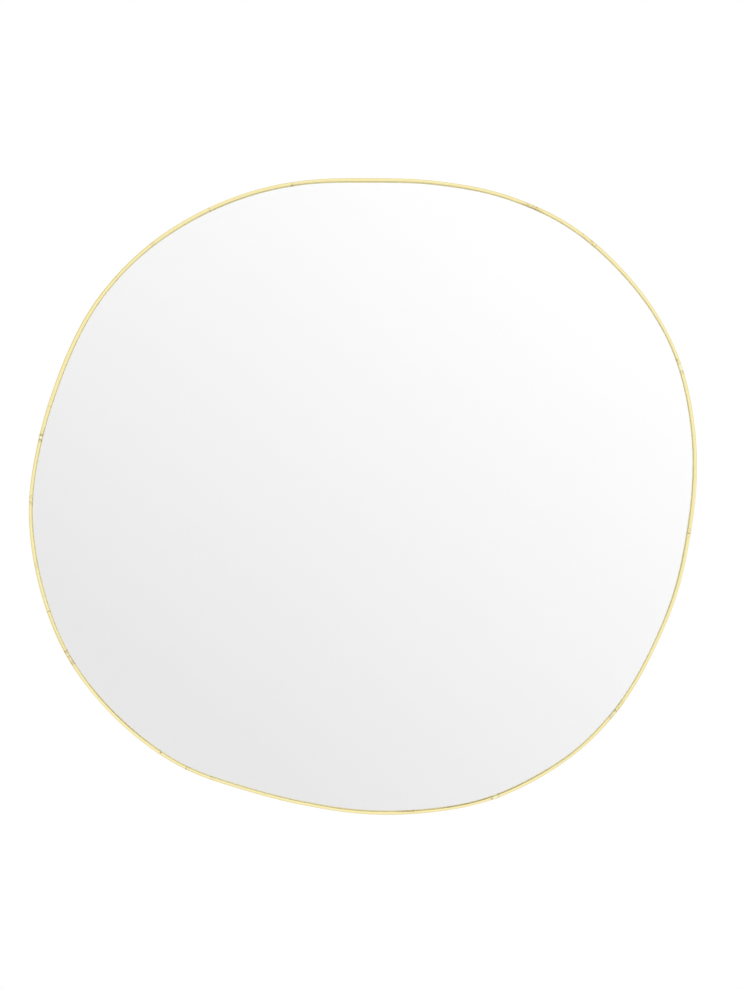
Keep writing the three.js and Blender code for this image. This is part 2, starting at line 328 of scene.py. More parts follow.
@dataclass(frozen=True)
class Fibreboard(Finish):
    """Medium-density fibreboard, pressed from fine wood fibre and sanded.

    The face shows short pale and dark fibres on an even brown. The sawn edge is the same board, darker
    and furry, with the saw's marks.
    """

    colour: str = "#B3926A"
    shade: str = "#AA8961"
    pale_fibre: str = "#CDB28C"
    dark_fibre: str = "#7C5E3E"
    roughness: float = 0.85
    specular: float = 0.3
    fibre_length: float = 7 * MM  # the longest bundles, which are all that show in the render
    fibre_width: float = 1.1 * MM
    fibre_strength: float = 0.6  # how far a fibre hides the brown behind it
    patch_size: float = 45 * MM
    nap_depth: float = 0.03 * MM
    saw_pitch: float = 0.0  # metres between the saw's marks, none on a sanded face

    def look(self, tree: bpy.types.NodeTree, place: bpy.types.NodeSocket) -> Inputs:
        """Works out what goes to the shader's inputs.

        Args:
            tree: The material's node tree.
            place: The place on the piece, in metres.

        Returns:
            The shader's inputs that this finish fills.
        """
        height = add_node(tree, "TexNoise", {
            "Vector": place, "Scale": 1 / self.patch_size, "Detail": 5.0,
        }).outputs["Fac"]
        spread = add_node(tree, "MapRange", {"Value": height, "From Min": 0.3, "From Max": 0.7})
        layers = [(spread.outputs[0], self.shade)]
        # fibres lie every way, so each colour has two sets at right angles, turned from the other's
        for tint, turn, offset in (
            (self.pale_fibre, 0.4, 0.0), (self.pale_fibre, 1.97, 3.1),
            (self.dark_fibre, -0.5, 7.7), (self.dark_fibre, 1.1, 5.3),
        ):
            turned = add_node(tree, "Mapping", {
                "Vector": place, "Rotation": (0.0, turn, 0.0), "Location": (offset, 0.0, offset),
            })
            stretched = add_node(tree, "Mapping", {
                "Vector": turned.outputs[0],
                "Scale": (1 / self.fibre_length, 1 / self.fibre_length, 1 / self.fibre_width),
            })
            fibres = add_node(tree, "TexNoise", {"Vector": stretched.outputs[0], "Scale": 1.0, "Detail": 2.0})
            picked = add_node(tree, "MapRange", {
                "Value": fibres.outputs["Fac"], "From Min": 0.6, "From Max": 0.74,
                "To Max": self.fibre_strength,
            })
            layers.append((picked.outputs[0], tint))
        if self.saw_pitch:
            # a wave of scale 1 repeats 20 times a metre
            kerf = add_node(tree, "TexWave", {
                "Vector": place, "Scale": 0.05 / self.saw_pitch, "Distortion": 3.0, "Detail": 2.0,
            })
            height = add_node(tree, "Math", {0: kerf.outputs["Fac"], 1: height}, operation="ADD").outputs[0]
        colour = linear(self.colour)
        for share, tint in layers:
            colour = add_node(tree, "Mix", {
                MIX_FACTOR: share, MIX_FIRST: colour, MIX_SECOND: linear(tint),
            }, data_type="RGBA").outputs[MIX_COLOUR]
        for share, _ in layers[1:]:
            height = add_node(tree, "Math", {0: share, 1: height}, operation="ADD").outputs[0]
        nap = add_node(tree, "Bump", {"Height": height, "Distance": self.nap_depth, "Strength": 1.0})
        return {
            "Base Color": colour, "Normal": nap.outputs[0], "Roughness": self.roughness,
            "Specular IOR Level": self.specular,
        }


@dataclass(frozen=True)
class FloatGlass(Finish):
    """Clear float glass, polished by the float bath, so its faces are flat and perfectly clear."""

    colour: str = "#FFFFFF"

    def look(self, tree: bpy.types.NodeTree, place: bpy.types.NodeSocket) -> Inputs:
        """Works out what goes to the shader's inputs.

        Args:
            tree: The material's node tree, which needs nothing more.
            place: The place on the piece, which makes no difference.

        Returns:
            The shader's inputs that this finish fills.
        """
        return {
            "Base Color": linear(self.colour), "Transmission Weight": 1.0, "Roughness": 0.0, "IOR": GLASS_IOR,
        }


@dataclass(frozen=True)
class Mottled(Finish):
    """A finish of two close tones in a pattern of a real size, polished or with a fine relief.

    Attributes:
        low: The tone where the pattern is low.
        high: The tone where it is high.
        size: The pattern's size, in metres.
        detail: How many finer patterns it holds.
        cells: Whether it is a pattern of cells and not of clouds.
        roughness: Even all over, or a pair for where the pattern is low and where it is high.
        relief: How deep the surface's grain is, in metres.
        grain_size: The grain's size, or 0 where the pattern is the grain.
        metallic: 1 for a metal.
        ior: The refractive index, or 0 to keep the shader's own.
    """

    low: str
    high: str
    size: float
    detail: float = 2.0
    cells: bool = False
    roughness: float | tuple[float, float] = 0.5
    relief: float = 0.0
    grain_size: float = 0.0
    metallic: float = 0.0
    ior: float = 0.0

    def look(self, tree: bpy.types.NodeTree, place: bpy.types.NodeSocket) -> Inputs:
        """Works out what goes to the shader's inputs.

        Args:
            tree: The material's node tree.
            place: The place on the piece, in metres.

        Returns:
            The shader's inputs that this finish fills.
        """
        pattern = grain = add_node(tree, "TexVoronoi" if self.cells else "TexNoise", {
            "Vector": place, "Scale": 1 / self.size, "Detail": self.detail,
        }).outputs[0]
        tone = add_node(tree, "Mix", {
            MIX_FACTOR: pattern, MIX_FIRST: linear(self.low), MIX_SECOND: linear(self.high),
        }, data_type="RGBA")
        inputs: Inputs = {
            "Base Color": tone.outputs[MIX_COLOUR], "Metallic": self.metallic, "Roughness": self.roughness,
        }
        if isinstance(self.roughness, tuple):
            least, most = self.roughness
            sheen = add_node(tree, "MapRange", {"Value": pattern, "To Min": least, "To Max": most})
            inputs["Roughness"] = sheen.outputs[0]
        if self.grain_size:
            grain = add_node(tree, "TexNoise", {
                "Vector": place, "Scale": 1 / self.grain_size, "Detail": 2.0,
            }).outputs["Fac"]
        if self.relief:
            rough = add_node(tree, "Bump", {"Height": grain, "Distance": self.relief, "Strength": 1.0})
            inputs["Normal"] = rough.outputs[0]
        if self.ior:
            inputs["IOR"] = self.ior
        return inputs


BRASS = RubbedBrass("rubbed_brass_strip")
BRAZE = FiledBraze("filed_brazing_alloy")
GLASS = FloatGlass("clear_float_glass")
BOARD_FACE = Fibreboard("sanded_fibreboard")
BOARD_EDGE = Fibreboard("sawn_fibreboard_edge", colour="#96734C", shade="#85643F", saw_pitch=1.4 * MM)
# bright zinc plating on pressed steel: a cool grey metal with a faint cloudy grain
ZINC = Mottled(
    "bright_zinc_plated_steel", "#C9CDD0", "#AEB3B8", 2.5 * MM, detail=4.0, roughness=(0.2, 0.4),
    relief=0.01 * MM, grain_size=0.4 * MM, metallic=1.0,
)
# silver laid on the back of the glass: a perfect mirror with hardly any colour of its own
SILVER = Mottled("chemical_silvering", "#FCFCFC", "#FBFBFB", 160 * MM, roughness=0.0, metallic=1.0)
# the grey paint that protects the silver from behind, curtain coated and slightly orange-peeled
PAINT = Mottled(
    "grey_mirror_backing_paint", "#8C8F92", "#7F8286", 1.5 * MM, roughness=0.45, relief=0.02 * MM,
)
# the glass sheet's edge, ground on a belt: frosted, and green from the glass's own iron
GLASS_EDGE = Mottled("ground_glass_edge", "#BFD8CC", "#A6C7B8", 0.3 * MM, relief=0.02 * MM, ior=GLASS_IOR)
# white closed-cell foam tape, soft and matt, with its cells showing as a fine stipple
TAPE = Mottled(
    "white_foam_tape", "#D8D4C8", "#E9E6DD", 0.5 * MM, detail=0.0, cells=True, roughness=0.9,
    relief=0.05 * MM,
)
# black moulded rubber with the mould's fine spark texture and a little bloom on it
RUBBER = Mottled(
    "moulded_black_rubber", "#2B2B2C", "#3D3D3F", 4 * MM, detail=4.0, roughness=(0.5, 0.75),
    relief=0.03 * MM, grain_size=0.35 * MM,
)


# ---------------------------------------------------------------- shaping


def extent(node: str) -> tuple[Vector, Vector, Vector]:
    """A CAD node's low corner, its high corner and its middle."""
    low, high = (Vector(corner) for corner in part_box(node))
    return low, high, (low + high) / 2


def fade(distance: float, reach: float) -> float:
    """How strong an effect still is at a distance: all of it at none, and about a third at its reach."""
    return math.exp(-((distance / reach) ** 2))


def move(bm: BMesh, offset: Sequence[float], parts: Iterable[object] | None = None) -> None:
    """Moves all of a mesh's points, or those among some of its parts."""
    verts = [part for part in (bm.verts if parts is None else parts) if isinstance(part, BMVert)]
    bmesh.ops.translate(bm, vec=Vector(offset), verts=verts)


def rotate(bm: BMesh, angle: float, axis: str) -> None:
    """Turns a mesh about an axis through the origin."""
    bmesh.ops.rotate(bm, verts=bm.verts, cent=(0, 0, 0), matrix=Matrix.Rotation(angle, 3, axis))


def soften(bm: BMesh, width: float, sharper_than: float = math.radians(40), segments: int = 2) -> None:
    """Rounds every sharp edge of a mesh a little.

    Args:
        bm: The mesh.
        width: How wide the rounding is, in metres.
        sharper_than: The angle between two faces from which their edge is rounded.
        segments: How many faces the rounding has across.
    """
    sharp = [e for e in bm.edges if len(e.link_faces) == 2 and e.calc_face_angle(0.0) > sharper_than]
    bmesh.ops.bevel(
        bm, geom=sharp, offset=width, offset_type="OFFSET", segments=segments, profile=0.5,
        affect="EDGES", clamp_overlap=True, material=-1,
    )


def close_up(bm: BMesh, within: float) -> None:
    """Makes a mesh one closed solid, with every face outwards.

    Args:
        bm: The mesh.
        within: How near points are that should be one, in metres.
    """
    bmesh.ops.remove_doubles(bm, verts=bm.verts, dist=within)
    bmesh.ops.holes_fill(bm, edges=[e for e in bm.edges if e.is_boundary], sides=0)
    bmesh.ops.recalc_face_normals(bm, faces=bm.faces)


def draw_on(
    bm: BMesh, end: Sequence[BMFace | BMEdge], offset: Sequence[float]
) -> list[BMFace | BMEdge]:
    """Draws a solid or a strip straight on from its end.

    Args:
        bm: The mesh.
        end: The end's faces, which are taken away, or its edges.
        offset: How far to draw it.

    Returns:
        The new end's faces or edges.
    """
    if isinstance(end[0], BMEdge):
        made = bmesh.ops.extrude_edge_only(bm, edges=end)["geom"]
    else:
        made = bmesh.ops.extrude_face_region(bm, geom=end)["geom"]
    kind = type(end[0])
    new = {part for part in made if isinstance(part, BMVert)}
    if kind is BMFace:
        bmesh.ops.delete(bm, geom=end, context="FACES_ONLY")
    move(bm, offset, new)
    return [part for part in made if isinstance(part, kind) and new.issuperset(part.verts)]


def bend(
    bm: BMesh, end: Sequence[BMFace | BMEdge], centre: Sequence[float], axis: Sequence[float],
    angle: float, steps: int,
) -> list[BMFace | BMEdge]:
    """Bends a solid or a strip on from its end.

    Args:
        bm: The mesh.
        end: The end's faces or edges.
        centre: The bend's middle.
        axis: The direction that it turns about.
        angle: How far it turns.
        steps: How many faces the bend has along it.

    Returns:
        The new end's faces or edges.
    """
    around = {v for part in end for v in part.verts}
    around |= {e for part in end if isinstance(part, BMFace) for e in part.edges}
    made = bmesh.ops.spin(
        bm, geom=[*end, *around], cent=centre, axis=axis, angle=angle, steps=steps,
        use_duplicate=False, use_merge=False,
    )["geom_last"]
    return [part for part in made if isinstance(part, type(end[0]))]


def spun(profile: Sequence[tuple[float, float]], steps: int) -> BMesh:
    """Turns a profile about the Y axis, as on a lathe.

    Args:
        profile: Points (radius, along Y), the first and the last on the axis.
        steps: How many faces go round.

    Returns:
        The closed solid.
    """
    bm = bmesh.new()
    verts = [bm.verts.new((radius, along, 0.0)) for radius, along in profile]
    edges = [bm.edges.new(pair) for pair in zip(verts, verts[1:])]
    bmesh.ops.spin(
        bm, geom=verts + edges, cent=(0.0, 0.0, 0.0), axis=(0.0, 1.0, 0.0), dvec=(0.0, 0.0, 0.0),
        angle=math.tau, steps=steps, use_merge=True, use_duplicate=False,
    )
    close_up(bm, 0.001 * MM)
    return bm


def as_mesh(bm: BMesh, name: str) -> bpy.types.Mesh:
    """Turns a bmesh, which is freed, to mesh data of a name."""
    mesh = bpy.data.meshes.new(name)
    bm.to_mesh(mesh)
    bm.free()
    return mesh


def placed(name: str, data: bpy.types.ID) -> bpy.types.Object:
    """Puts a mesh, a lamp or a camera in the scene as a new object."""
    made = bpy.data.objects.new(name, data)
    bpy.context.scene.collection.objects.link(made)
    return made


def cut_out(body: BMesh, cutters: Sequence[BMesh]) -> BMesh:
    """Cuts closed shapes out of a closed body, as a drill or a punch would.

    Args:
        body: The body to cut. It is freed.
        cutters: The shapes to take away. They are freed.

    Returns:
        What is left.
    """
    target, *tools = [placed("cutting", as_mesh(source, "cutting")) for source in (body, *cutters)]
    for tool in tools:
        cut = target.modifiers.new("cut", "BOOLEAN")
        cut.operation, cut.solver, cut.object = "DIFFERENCE", "EXACT", tool
    depsgraph = bpy.context.evaluated_depsgraph_get()
    left = bpy.data.meshes.new_from_object(target.evaluated_get(depsgraph))
    result = bmesh.new()
    result.from_mesh(left)
    spent = [left, *(thing.data for thing in (target, *tools))]
    for thing in (target, *tools):
        bpy.data.objects.remove(thing)
    for mesh in spent:
        bpy.data.meshes.remove(mesh)
    return result


def drill(radius: float, length: float, x: float, z: float) -> BMesh:
    """A round cutter along Y for cut_out.

    Args:
        radius: The hole's radius.
        length: The cutter's length, half of it to each side of Y = 0.
        x: The hole's place across.
        z: The hole's place up.

    Returns:
        The cutter.
    """
    bm = bmesh.new()
    bmesh.ops.create_cone(bm, cap_ends=True, segments=24, radius1=radius, radius2=radius, depth=length)
    rotate(bm, math.pi / 2, "X")
    move(bm, (x, 0.0, z))
    return bm


@dataclass
class Bench:
    """Hands finished meshes over to the scene, each riding on its body in place of its CAD node."""

    smooth_below: float = math.radians(38)
    materials: dict[str, bpy.types.Material] = field(default_factory=dict)

    def material(self, finish: Finish) -> bpy.types.Material:
        """A finish's material, which is made when it is first asked for."""
        if finish.name not in self.materials:
            self.materials[finish.name] = finish.build()
        return self.materials[finish.name]

    def deliver(
        self, bm: BMesh, name: str, node: str, slot: str, *finishes: Finish, body: Body = Body.MIRROR
    ) -> None:
        """Makes the scene's object of a mesh.

        Args:
            bm: The finished mesh, in its place. It is freed.
            name: The new object's name.
            node: The CAD node that it replaces.
            slot: The name of a material slot for it, which is not used.
            *finishes: Its finishes, by face index.
            body: The body that it rides on.
        """
        mesh = as_mesh(bm, name)
        for finish in finishes:
            mesh.materials.append(self.material(finish))
        mesh.shade_smooth()
        mesh.set_sharp_from_angle(angle=self.smooth_below)
        piece = placed(name, mesh)
        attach(piece, body.value)
        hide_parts(node)
        LOG.info("%s: %d faces in place of %s", name, len(mesh.polygons), node)

    def redress(self, node: str, finish: Finish) -> None:
        """Gives a CAD node that stays its real finish.

        Args:
            node: The node's name.
            finish: The finish.
        """
        shown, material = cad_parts[node], self.material(finish)
        if not shown.material_slots:
            shown.data.materials.append(material)
        for slot in shown.material_slots:
            slot.material = material
        LOG.info("%s: CAD solid kept, now %s", node, finish.name)


# ---------------------------------------------------------------- outline


@dataclass
class Outline:
    """The mirror's outer edge, a closed smooth line read from the edge of the CAD's glass sheet."""

    sheet_node: str = "glass_sheet"
    sheet_inset: float = 2 * MM  # how far in from the outer edge the glass and the board end
    same_point: float = 0.01 * MM
    edge_steps: int = 2048
    points: list[Vector] = field(default_factory=list)
    edge: list[Vector] = field(default_factory=list)
    perimeter: float = 0.0

    def __post_init__(self) -> None:
        """Reads the sheet's corners, in order from the right and up over the top."""
        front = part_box(self.sheet_node)[0][1]
        corners: dict[tuple[int, int], Vector] = {}
        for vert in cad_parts[self.sheet_node].data.vertices:
            if vert.co.y - front < 0.5 * MM:
                key = (round(vert.co.x / self.same_point), round(vert.co.z / self.same_point))
                corners[key] = Vector((vert.co.x, vert.co.z))
        ring = sorted(corners.values(), key=lambda p: math.atan2(p.y, p.x))
        first = min(range(len(ring)), key=lambda i: abs(math.atan2(ring[i].y, ring[i].x)))
        self.points = ring[first:] + ring[:first]
        self.edge = [self.at(step / self.edge_steps)[0] for step in range(self.edge_steps)]
        self.perimeter = sum((a - b).length for a, b in zip(self.edge, self.edge[1:] + self.edge[:1]))

    def at(self, fraction: float, inset: float = 0.0) -> tuple[Vector, Vector]:
        """A place beside the outline.

        Args:
            fraction: How far round it is, in turns.
            inset: How far in from the outer edge.

        Returns:
            The place at Y = 0, and the direction out of the mirror there.
        """
        count = len(self.points)
        whole = math.floor(fraction * count)
        t = fraction * count - whole
        a, b, c, d = (self.points[(whole + step) % count] for step in (-1, 0, 1, 2))
        slope, curve, twist = c - a, 2 * a - 5 * b + 4 * c - d, 3 * b - a - 3 * c + d
        flat = 0.5 * (2 * b + slope * t + curve * t**2 + twist * t**3)
        along = (slope + 2 * curve * t + 3 * twist * t**2).normalized()
        outward = Vector((along.y, 0.0, -along.x))
        return Vector((flat.x, 0.0, flat.y)) + outward * (self.sheet_inset - inset), outward

    def nearest(self, x: float, z: float) -> float:
        """How far round, in turns, the outline comes nearest to a place."""
        place = Vector((x, 0.0, z))
        step = min(range(self.edge_steps), key=lambda step: (self.edge[step] - place).length)
        return step / self.edge_steps

    def sheet(self, front: float, back: float, sides: int) -> BMesh:
        """A flat sheet of the outline's shape, inside the rim.

        Args:
            front: The Y of the side towards the viewer.
            back: The Y of the side towards the wall.
            sides: How many straight sides stand for its edge.

        Returns:
            The closed sheet.
        """
        bm = bmesh.new()
        bmesh.ops.create_circle(bm, cap_ends=True, segments=sides, radius=1.0)
        for vert in bm.verts:
            place, _ = self.at(math.atan2(vert.co.y, vert.co.x) / math.tau, self.sheet_inset)
            vert.co = (place.x, back, place.z)
        raised = bmesh.ops.extrude_face_region(bm, geom=bm.faces[:])["geom"]
        move(bm, TOWARD_VIEWER * (back - front), raised)
        bmesh.ops.recalc_face_normals(bm, faces=bm.faces)
        return bm


# ---------------------------------------------------------------- rim

# The bead's drawn shape at places (x, z), in millimetres: how far its crown leans out of the mirror,
# which shows as a wider or narrower dark line along its inner side, how wide it is, and how far
# filing has taken the rim's outer side in there.
SHAPES = (
    (398, 9, 0.6, 5.0, 0.2), (399, 57, 0.0, 4.7, 0.05), (388, 134, -0.6, 4.5, 0.4),
    (369, 188, -0.6, 3.9, 0.1), (320, 260, -0.8, 4.3, 0.4), (273, 307, -0.8, 4.4, 0.1),
    (198, 350, -0.3, 4.4, 0.5), (85, 378, 0.3, 4.5, 0.15), (-1, 381, 0.4, 5.0, 0.3),
    (-58, 379, 0.2, 4.6, 0.6), (-115, 370, 0.2, 4.8, 0.1), (-170, 352, 0.9, 5.0, 0.15),
    (-221, 326, -0.1, 4.9, 0.2), (-288, 272, -1.0, 4.5, 0.3), (-340, 202, -0.8, 5.0, 0.1),
    (-370, 131, -0.2, 5.0, 0.05), (-391, 57, -0.6, 4.3, 0.05), (-400, -19, 0.3, 4.2, 0.1),
    (-388, -105, 0.0, 4.4, 0.2), (-358, -186, -1.0, 4.1, 0.2), (-325, -234, 1.1, 4.1, 0.4),
    (-286, -276, 1.2, 4.3, 0.25), (-214, -325, 0.2, 4.0, 0.2), (-133, -354, 0.3, 4.1, 0.5),
    (-49, -373, 0.9, 4.2, 0.65), (37, -380, 0.8, 4.4, 0.3), (123, -371, 1.2, 4.0, 0.1),
    (204, -341, 1.1, 4.4, 0.15), (252, -309, 0.5, 3.8, 0.15), (294, -269, -0.3, 4.3, 0.05),
    (341, -197, -0.3, 4.1, 0.2), (382, -90, 0.8, 4.7, 0.15),
)

# The marks of handwork by kind, with some painted shade among the scorches: the place (x, z) and the
# length along the bead, in millimetres, the strength from 0 to 1, and -1 for the bead's inner side only
# or 1 for its outer side only.
MARKS = {
    MarkKind.SEAM: (
        (-184, 344.7, 1.2, 0.45), (-376.7, -137.6, 0.9, 0.6), (-375, 108, 0.7, 0.5),
        (-86.6, 375, 0.9, 0.35), (-355.6, -185.4, 1.4, 0.7),
    ),
    MarkKind.SCORCH_AND_SHADE: (
        # The long weak scorches on the inner side, at (-80, 375), (-384, 79) and (-351, -193), are painted
        # shade: browning laid along the bead's inner foot, in the corner against the glass where shadow
        # falls. The rest are the torch's browning.
        (376, 163, 3.5, 0.35, -1), (382, 148, 4, 0.3, 1), (-85, 374, 3, 0.35, -1),
        (-80, 375, 9, 0.12, -1), (-386, 74, 2, 0.25), (-388, 66, 2.5, 0.12), (-384, 79, 7, 0.12, -1),
        (-351, -193, 12, 0.15, -1), (-347.7, -198.9, 6, 0.3), (154.2, -361.8, 2.5, 0.45, 1),
        (160.6, -358.7, 2, 0.3, 1), (300.8, -257.5, 2.5, 0.35, -1), (303.5, -258.5, 2.5, 0.35, 1),
        (306.5, -254, 2.5, 0.35, 1), (309, -250, 14, 0.12), (299, -263, 9, 0.18),
        (203, 345, 30, 0.25, -1), (-390, -83, 9, 0.12), (-252, 303, 6, 0.12), (56, -376, 26, 0.2, -1),
    ),
    MarkKind.PITTED: (
        (272, 307, 30, 0.8), (203, 345, 30, 0.7), (-394.6, -5, 18, 0.9), (-243, -306, 8, 0.68),
        (-210, -325, 8, 0.8), (-180, -336, 8, 0.7), (56, -376, 26, 0.7, -1), (392, -41, 18, 0.7),
        (-294, 261, 12, 0.7), (-390, -83, 12, 0.6), (-374, -143, 10, 0.7), (-348, -198, 8, 0.6),
        (304, -257, 10, 0.5), (158, -359, 12, 0.5),
    ),
    MarkKind.FLAT: ((-71.5, -367, 22, 0.8),),
    MarkKind.LUMP: ((248, -309, 6, 0.6), (383, 146, 5, 0.4, 1)),
}


@dataclass(frozen=True)
class Mark:
    """A mark of handwork on the bead; a few are painted shade along its inner foot.

    Attributes:
        turn: How far round the outline it is.
        length: How far it reaches along the bead, in metres.
        strength: 0 to 1.
        side: -1 for the inner side of the bead, 1 for the outer side, 0 for all of it.
    """

    turn: float
    length: float
    strength: float
    side: int = 0


@dataclass(frozen=True)
class Joint:
    """A brazed joint between two stretches of the rim.

    Attributes:
        length: Length of the knuckle of braze, in millimetres.
        swell: How far it stands proud of the bead, in millimetres.
        bulge: How far it spreads past the bead's outer side, in millimetres.
        notch: How deep the dip is at each end of it, as a share of the bead's height.
        browned: How dark the metal is in the dips, 0 to 1.
    """

    length: float
    swell: float
    bulge: float
    notch: float
    browned: float


@dataclass(frozen=True)
class Station:
    """One cross-section of a strip that is swept along the rim."""

    place: Vector
    outward: Vector
    along: float
    section: list[tuple[float, float]]  # (out of the mirror, towards the viewer) from place
    # browning for each point, from brazing heat and from painted shade along the bead's inner foot
    heat: list[float]
    pits: list[float]


def swept(stations: Sequence[Station]) -> BMesh:
    """Draws a strip along its stations and closes its ends.

    Args:
        stations: The strip's cross-sections in order, all with the same count of points.

    Returns:
        The closed strip, with its attributes for the brass.
    """
    columns, rows = len(stations) - 1, len(stations[0].section)
    bm = bmesh.new()
    bmesh.ops.create_grid(bm, x_segments=columns, y_segments=rows, size=1.0)
    lie = bm.verts.layers.float_vector.new(LIE)
    heat = bm.verts.layers.float.new(HEAT_AND_SHADE)
    pits = bm.verts.layers.float.new(PITS)
    for vert in bm.verts:
        station = stations[round((vert.co.x + 1) / 2 * columns)]
        row = round((vert.co.y + 1) / 2 * rows) % rows
        out, up = station.section[row]
        vert.co = station.place + station.outward * out + TOWARD_VIEWER * up
        vert[lie] = (station.along, out - up, 0.0)
        vert[heat] = station.heat[row]
        vert[pits] = station.pits[row]
    close_up(bm, 0.0001 * MM)
    return bm


@dataclass
class Rim:
    """The hand-bent brass rim: a half-round bead on the glass, brazed to a flat band round the edge."""

    bench: Bench
    outline: Outline
    bead_height: float = 2.8 * MM
    bead_shoulder: float = 0.8 * MM  # height of the bead's widest line above the glass
    undercut: float = 0.55 * MM  # how far the bead's inner foot tucks back under it
    # the bead's sides below the shoulder: shares of half its width and of the shoulder's height
    inner_side: tuple[tuple[float, float], ...] = ((0.93, 0.2), (0.99, 0.6))
    outer_side: tuple[tuple[float, float], ...] = ((1.0, 0.45), (0.96, 0.0))
    crown_segments: int = 16
    # shares of the bead's width and of its height: what it has on the whole, and what changes them
    usual: tuple[float, float] = (0.985, 0.97)
    wave: tuple[float, float] = (0.015, 0.03)
    seam_pinch: tuple[float, float] = (0.05, 0.12)
    notch_pinch: float = 0.4  # of the width, beside the notch's own share of the height
    ripple: float = 0.012  # of the height
    lump_rise: float = 0.08
    flat_drop: float = 0.12
    wave_length: float = 60 * MM
    ripple_length: float = 11 * MM
    ripple_lean: float = 0.12 * MM
    torch_pits: float = 0.5  # how pitted browned metal is
    band_thickness: float = 1.2 * MM
    band_round: float = 0.25 * MM
    band_round_segments: int = 3
    band_gap: float = 0.12 * MM  # hairline between two stretches of the band
    band_step: float = 2.5 * MM
    band_heat_reach: float = 5 * MM
    band_browned: float = 0.7
    band_pits: float = 0.3
    coarse_step: float = 1.4 * MM
    fine_step: float = 0.3 * MM
    knuckle_step: float = 0.25 * MM
    cover: float = 0.03 * MM  # how much larger a knuckle's end is than the bead's end in it
    overlap: float = 0.15 * MM  # how far a bead's end runs into the knuckle
    dip_reach: float = 1.1 * MM
    heat_reach: float = 1.8 * MM
    joints: tuple[Joint, ...] = (
        Joint(8, 0.15, 0.1, 0.12, 0.2), Joint(3, 0.1, 0.0, 0.1, 0.1), Joint(5, 0.45, 0.2, 0.4, 0.5),
        Joint(4, 0.2, 0.1, 0.25, 0.25), Joint(7, 0.35, 0.6, 0.12, 0.2), Joint(10, 0.3, 0.1, 0.15, 0.15),
    )
    glass_front: float = 0.0  # the Y of the glass's face, which the bead lies on
    joint_turns: list[float] = field(default_factory=list)
    marks: dict[MarkKind, list[Mark]] = field(default_factory=dict)
    shapes: list[tuple[float, Vector]] = field(default_factory=list)

    def __post_init__(self) -> None:
        """Finds where the joints, the marks and the drawn shapes are along the outline."""
        self.glass_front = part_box("glass_sheet")[0][1]
        for number in range(1, len(self.joints) + 1):
            middle = extent(f"rim_knuckle_{number}")[2]
            self.joint_turns.append(self.outline.nearest(middle.x, middle.z))
        for kind, rows in MARKS.items():
            self.marks[kind] = [
                Mark(self.outline.nearest(x * MM, z * MM), length * MM, *rest) for x, z, length, *rest in rows
            ]
        self.shapes = sorted(
            ((self.outline.nearest(x * MM, z * MM), Vector(shape) * MM) for x, z, *shape in SHAPES),
            key=lambda placed_shape: placed_shape[0],
        )

    def metres_from(self, turn: float, other: float) -> float:
        """How far along the rim one place is from another, the short way round."""
        return ((turn - other + 0.5) % 1 - 0.5) * self.outline.perimeter

    def stretch(self, index: int, start_gap: float, end_gap: float) -> tuple[float, float]:
        """Where the stretch from one joint to the next runs.

        Args:
            index: Number of the joint that it starts from, from 0.
            start_gap: How far from that joint's middle it starts, in metres.
            end_gap: How far from the next joint's middle it ends, in metres.

        Returns:
            Its start and its end, in turns.
        """
        start, end = self.joint_turns[index], self.joint_turns[(index + 1) % len(self.joints)]
        end += 1.0 if end < start else 0.0
        return start + start_gap / self.outline.perimeter, end - end_gap / self.outline.perimeter

    def shape_at(self, turn: float) -> Vector:
        """The bead's drawn shape at a place, which goes smoothly from one given place to the next.

        Args:
            turn: How far round the place is.

        Returns:
            How far the crown leans out, how wide the bead is and how far in its outer side lies.
        """
        (first, first_shape), (last, last_shape) = self.shapes[0], self.shapes[-1]
        wrapped = [(last - 1, last_shape), *self.shapes, (first + 1, first_shape)]
        for (before, shape), (after, next_shape) in zip(wrapped, wrapped[1:]):
            if before <= turn % 1 <= after:
                share = (turn % 1 - before) / (after - before)
                return shape.lerp(next_shape, share * share * (3 - 2 * share))
        return first_shape

    def strength(self, turn: float, kind: MarkKind, across: float = 0.0) -> float:
        """How strongly marks of one kind show at a place on the bead.

        Args:
            turn: How far round the place is.
            kind: The kind of mark.
            across: From -1 at the bead's inner side to 1 at its outer side.

        Returns:
            0 for none, up to 1.
        """
        total = 0.0
        for mark in self.marks[kind]:
            off = self.metres_from(turn, mark.turn) / (mark.length / 2)
            sided = 1.0 if not mark.side else min(max(0.5 + across * mark.side, 0.0), 1.0)
            total += mark.strength * sided * math.exp(-(off**4))
        return min(total, 1.0)

    def turns_between(self, start: float, end: float) -> list[float]:
        """Where the bead needs a cross-section: closer together where it has a mark or ends.

        Args:
            start: The first place, in turns.
            end: The last place, in turns.

        Returns:
            The places, both ends included.
        """
        coarse, fine = (step / self.outline.perimeter for step in (self.coarse_step, self.fine_step))
        turns = [start, start + fine / 2, start + fine]
        while turns[-1] < end - fine:
            near_mark = any(
                abs(self.metres_from(turns[-1], mark.turn)) < mark.length / 2 + 2 * MM
                for marks in self.marks.values() for mark in marks
            )
            near_end = min(turns[-1] - start, end - turns[-1]) < 4 * coarse
            turns.append(turns[-1] + (fine if near_mark or near_end else coarse))
        return [*(t for t in turns if t < end - fine), end - fine, end - fine / 2, end]

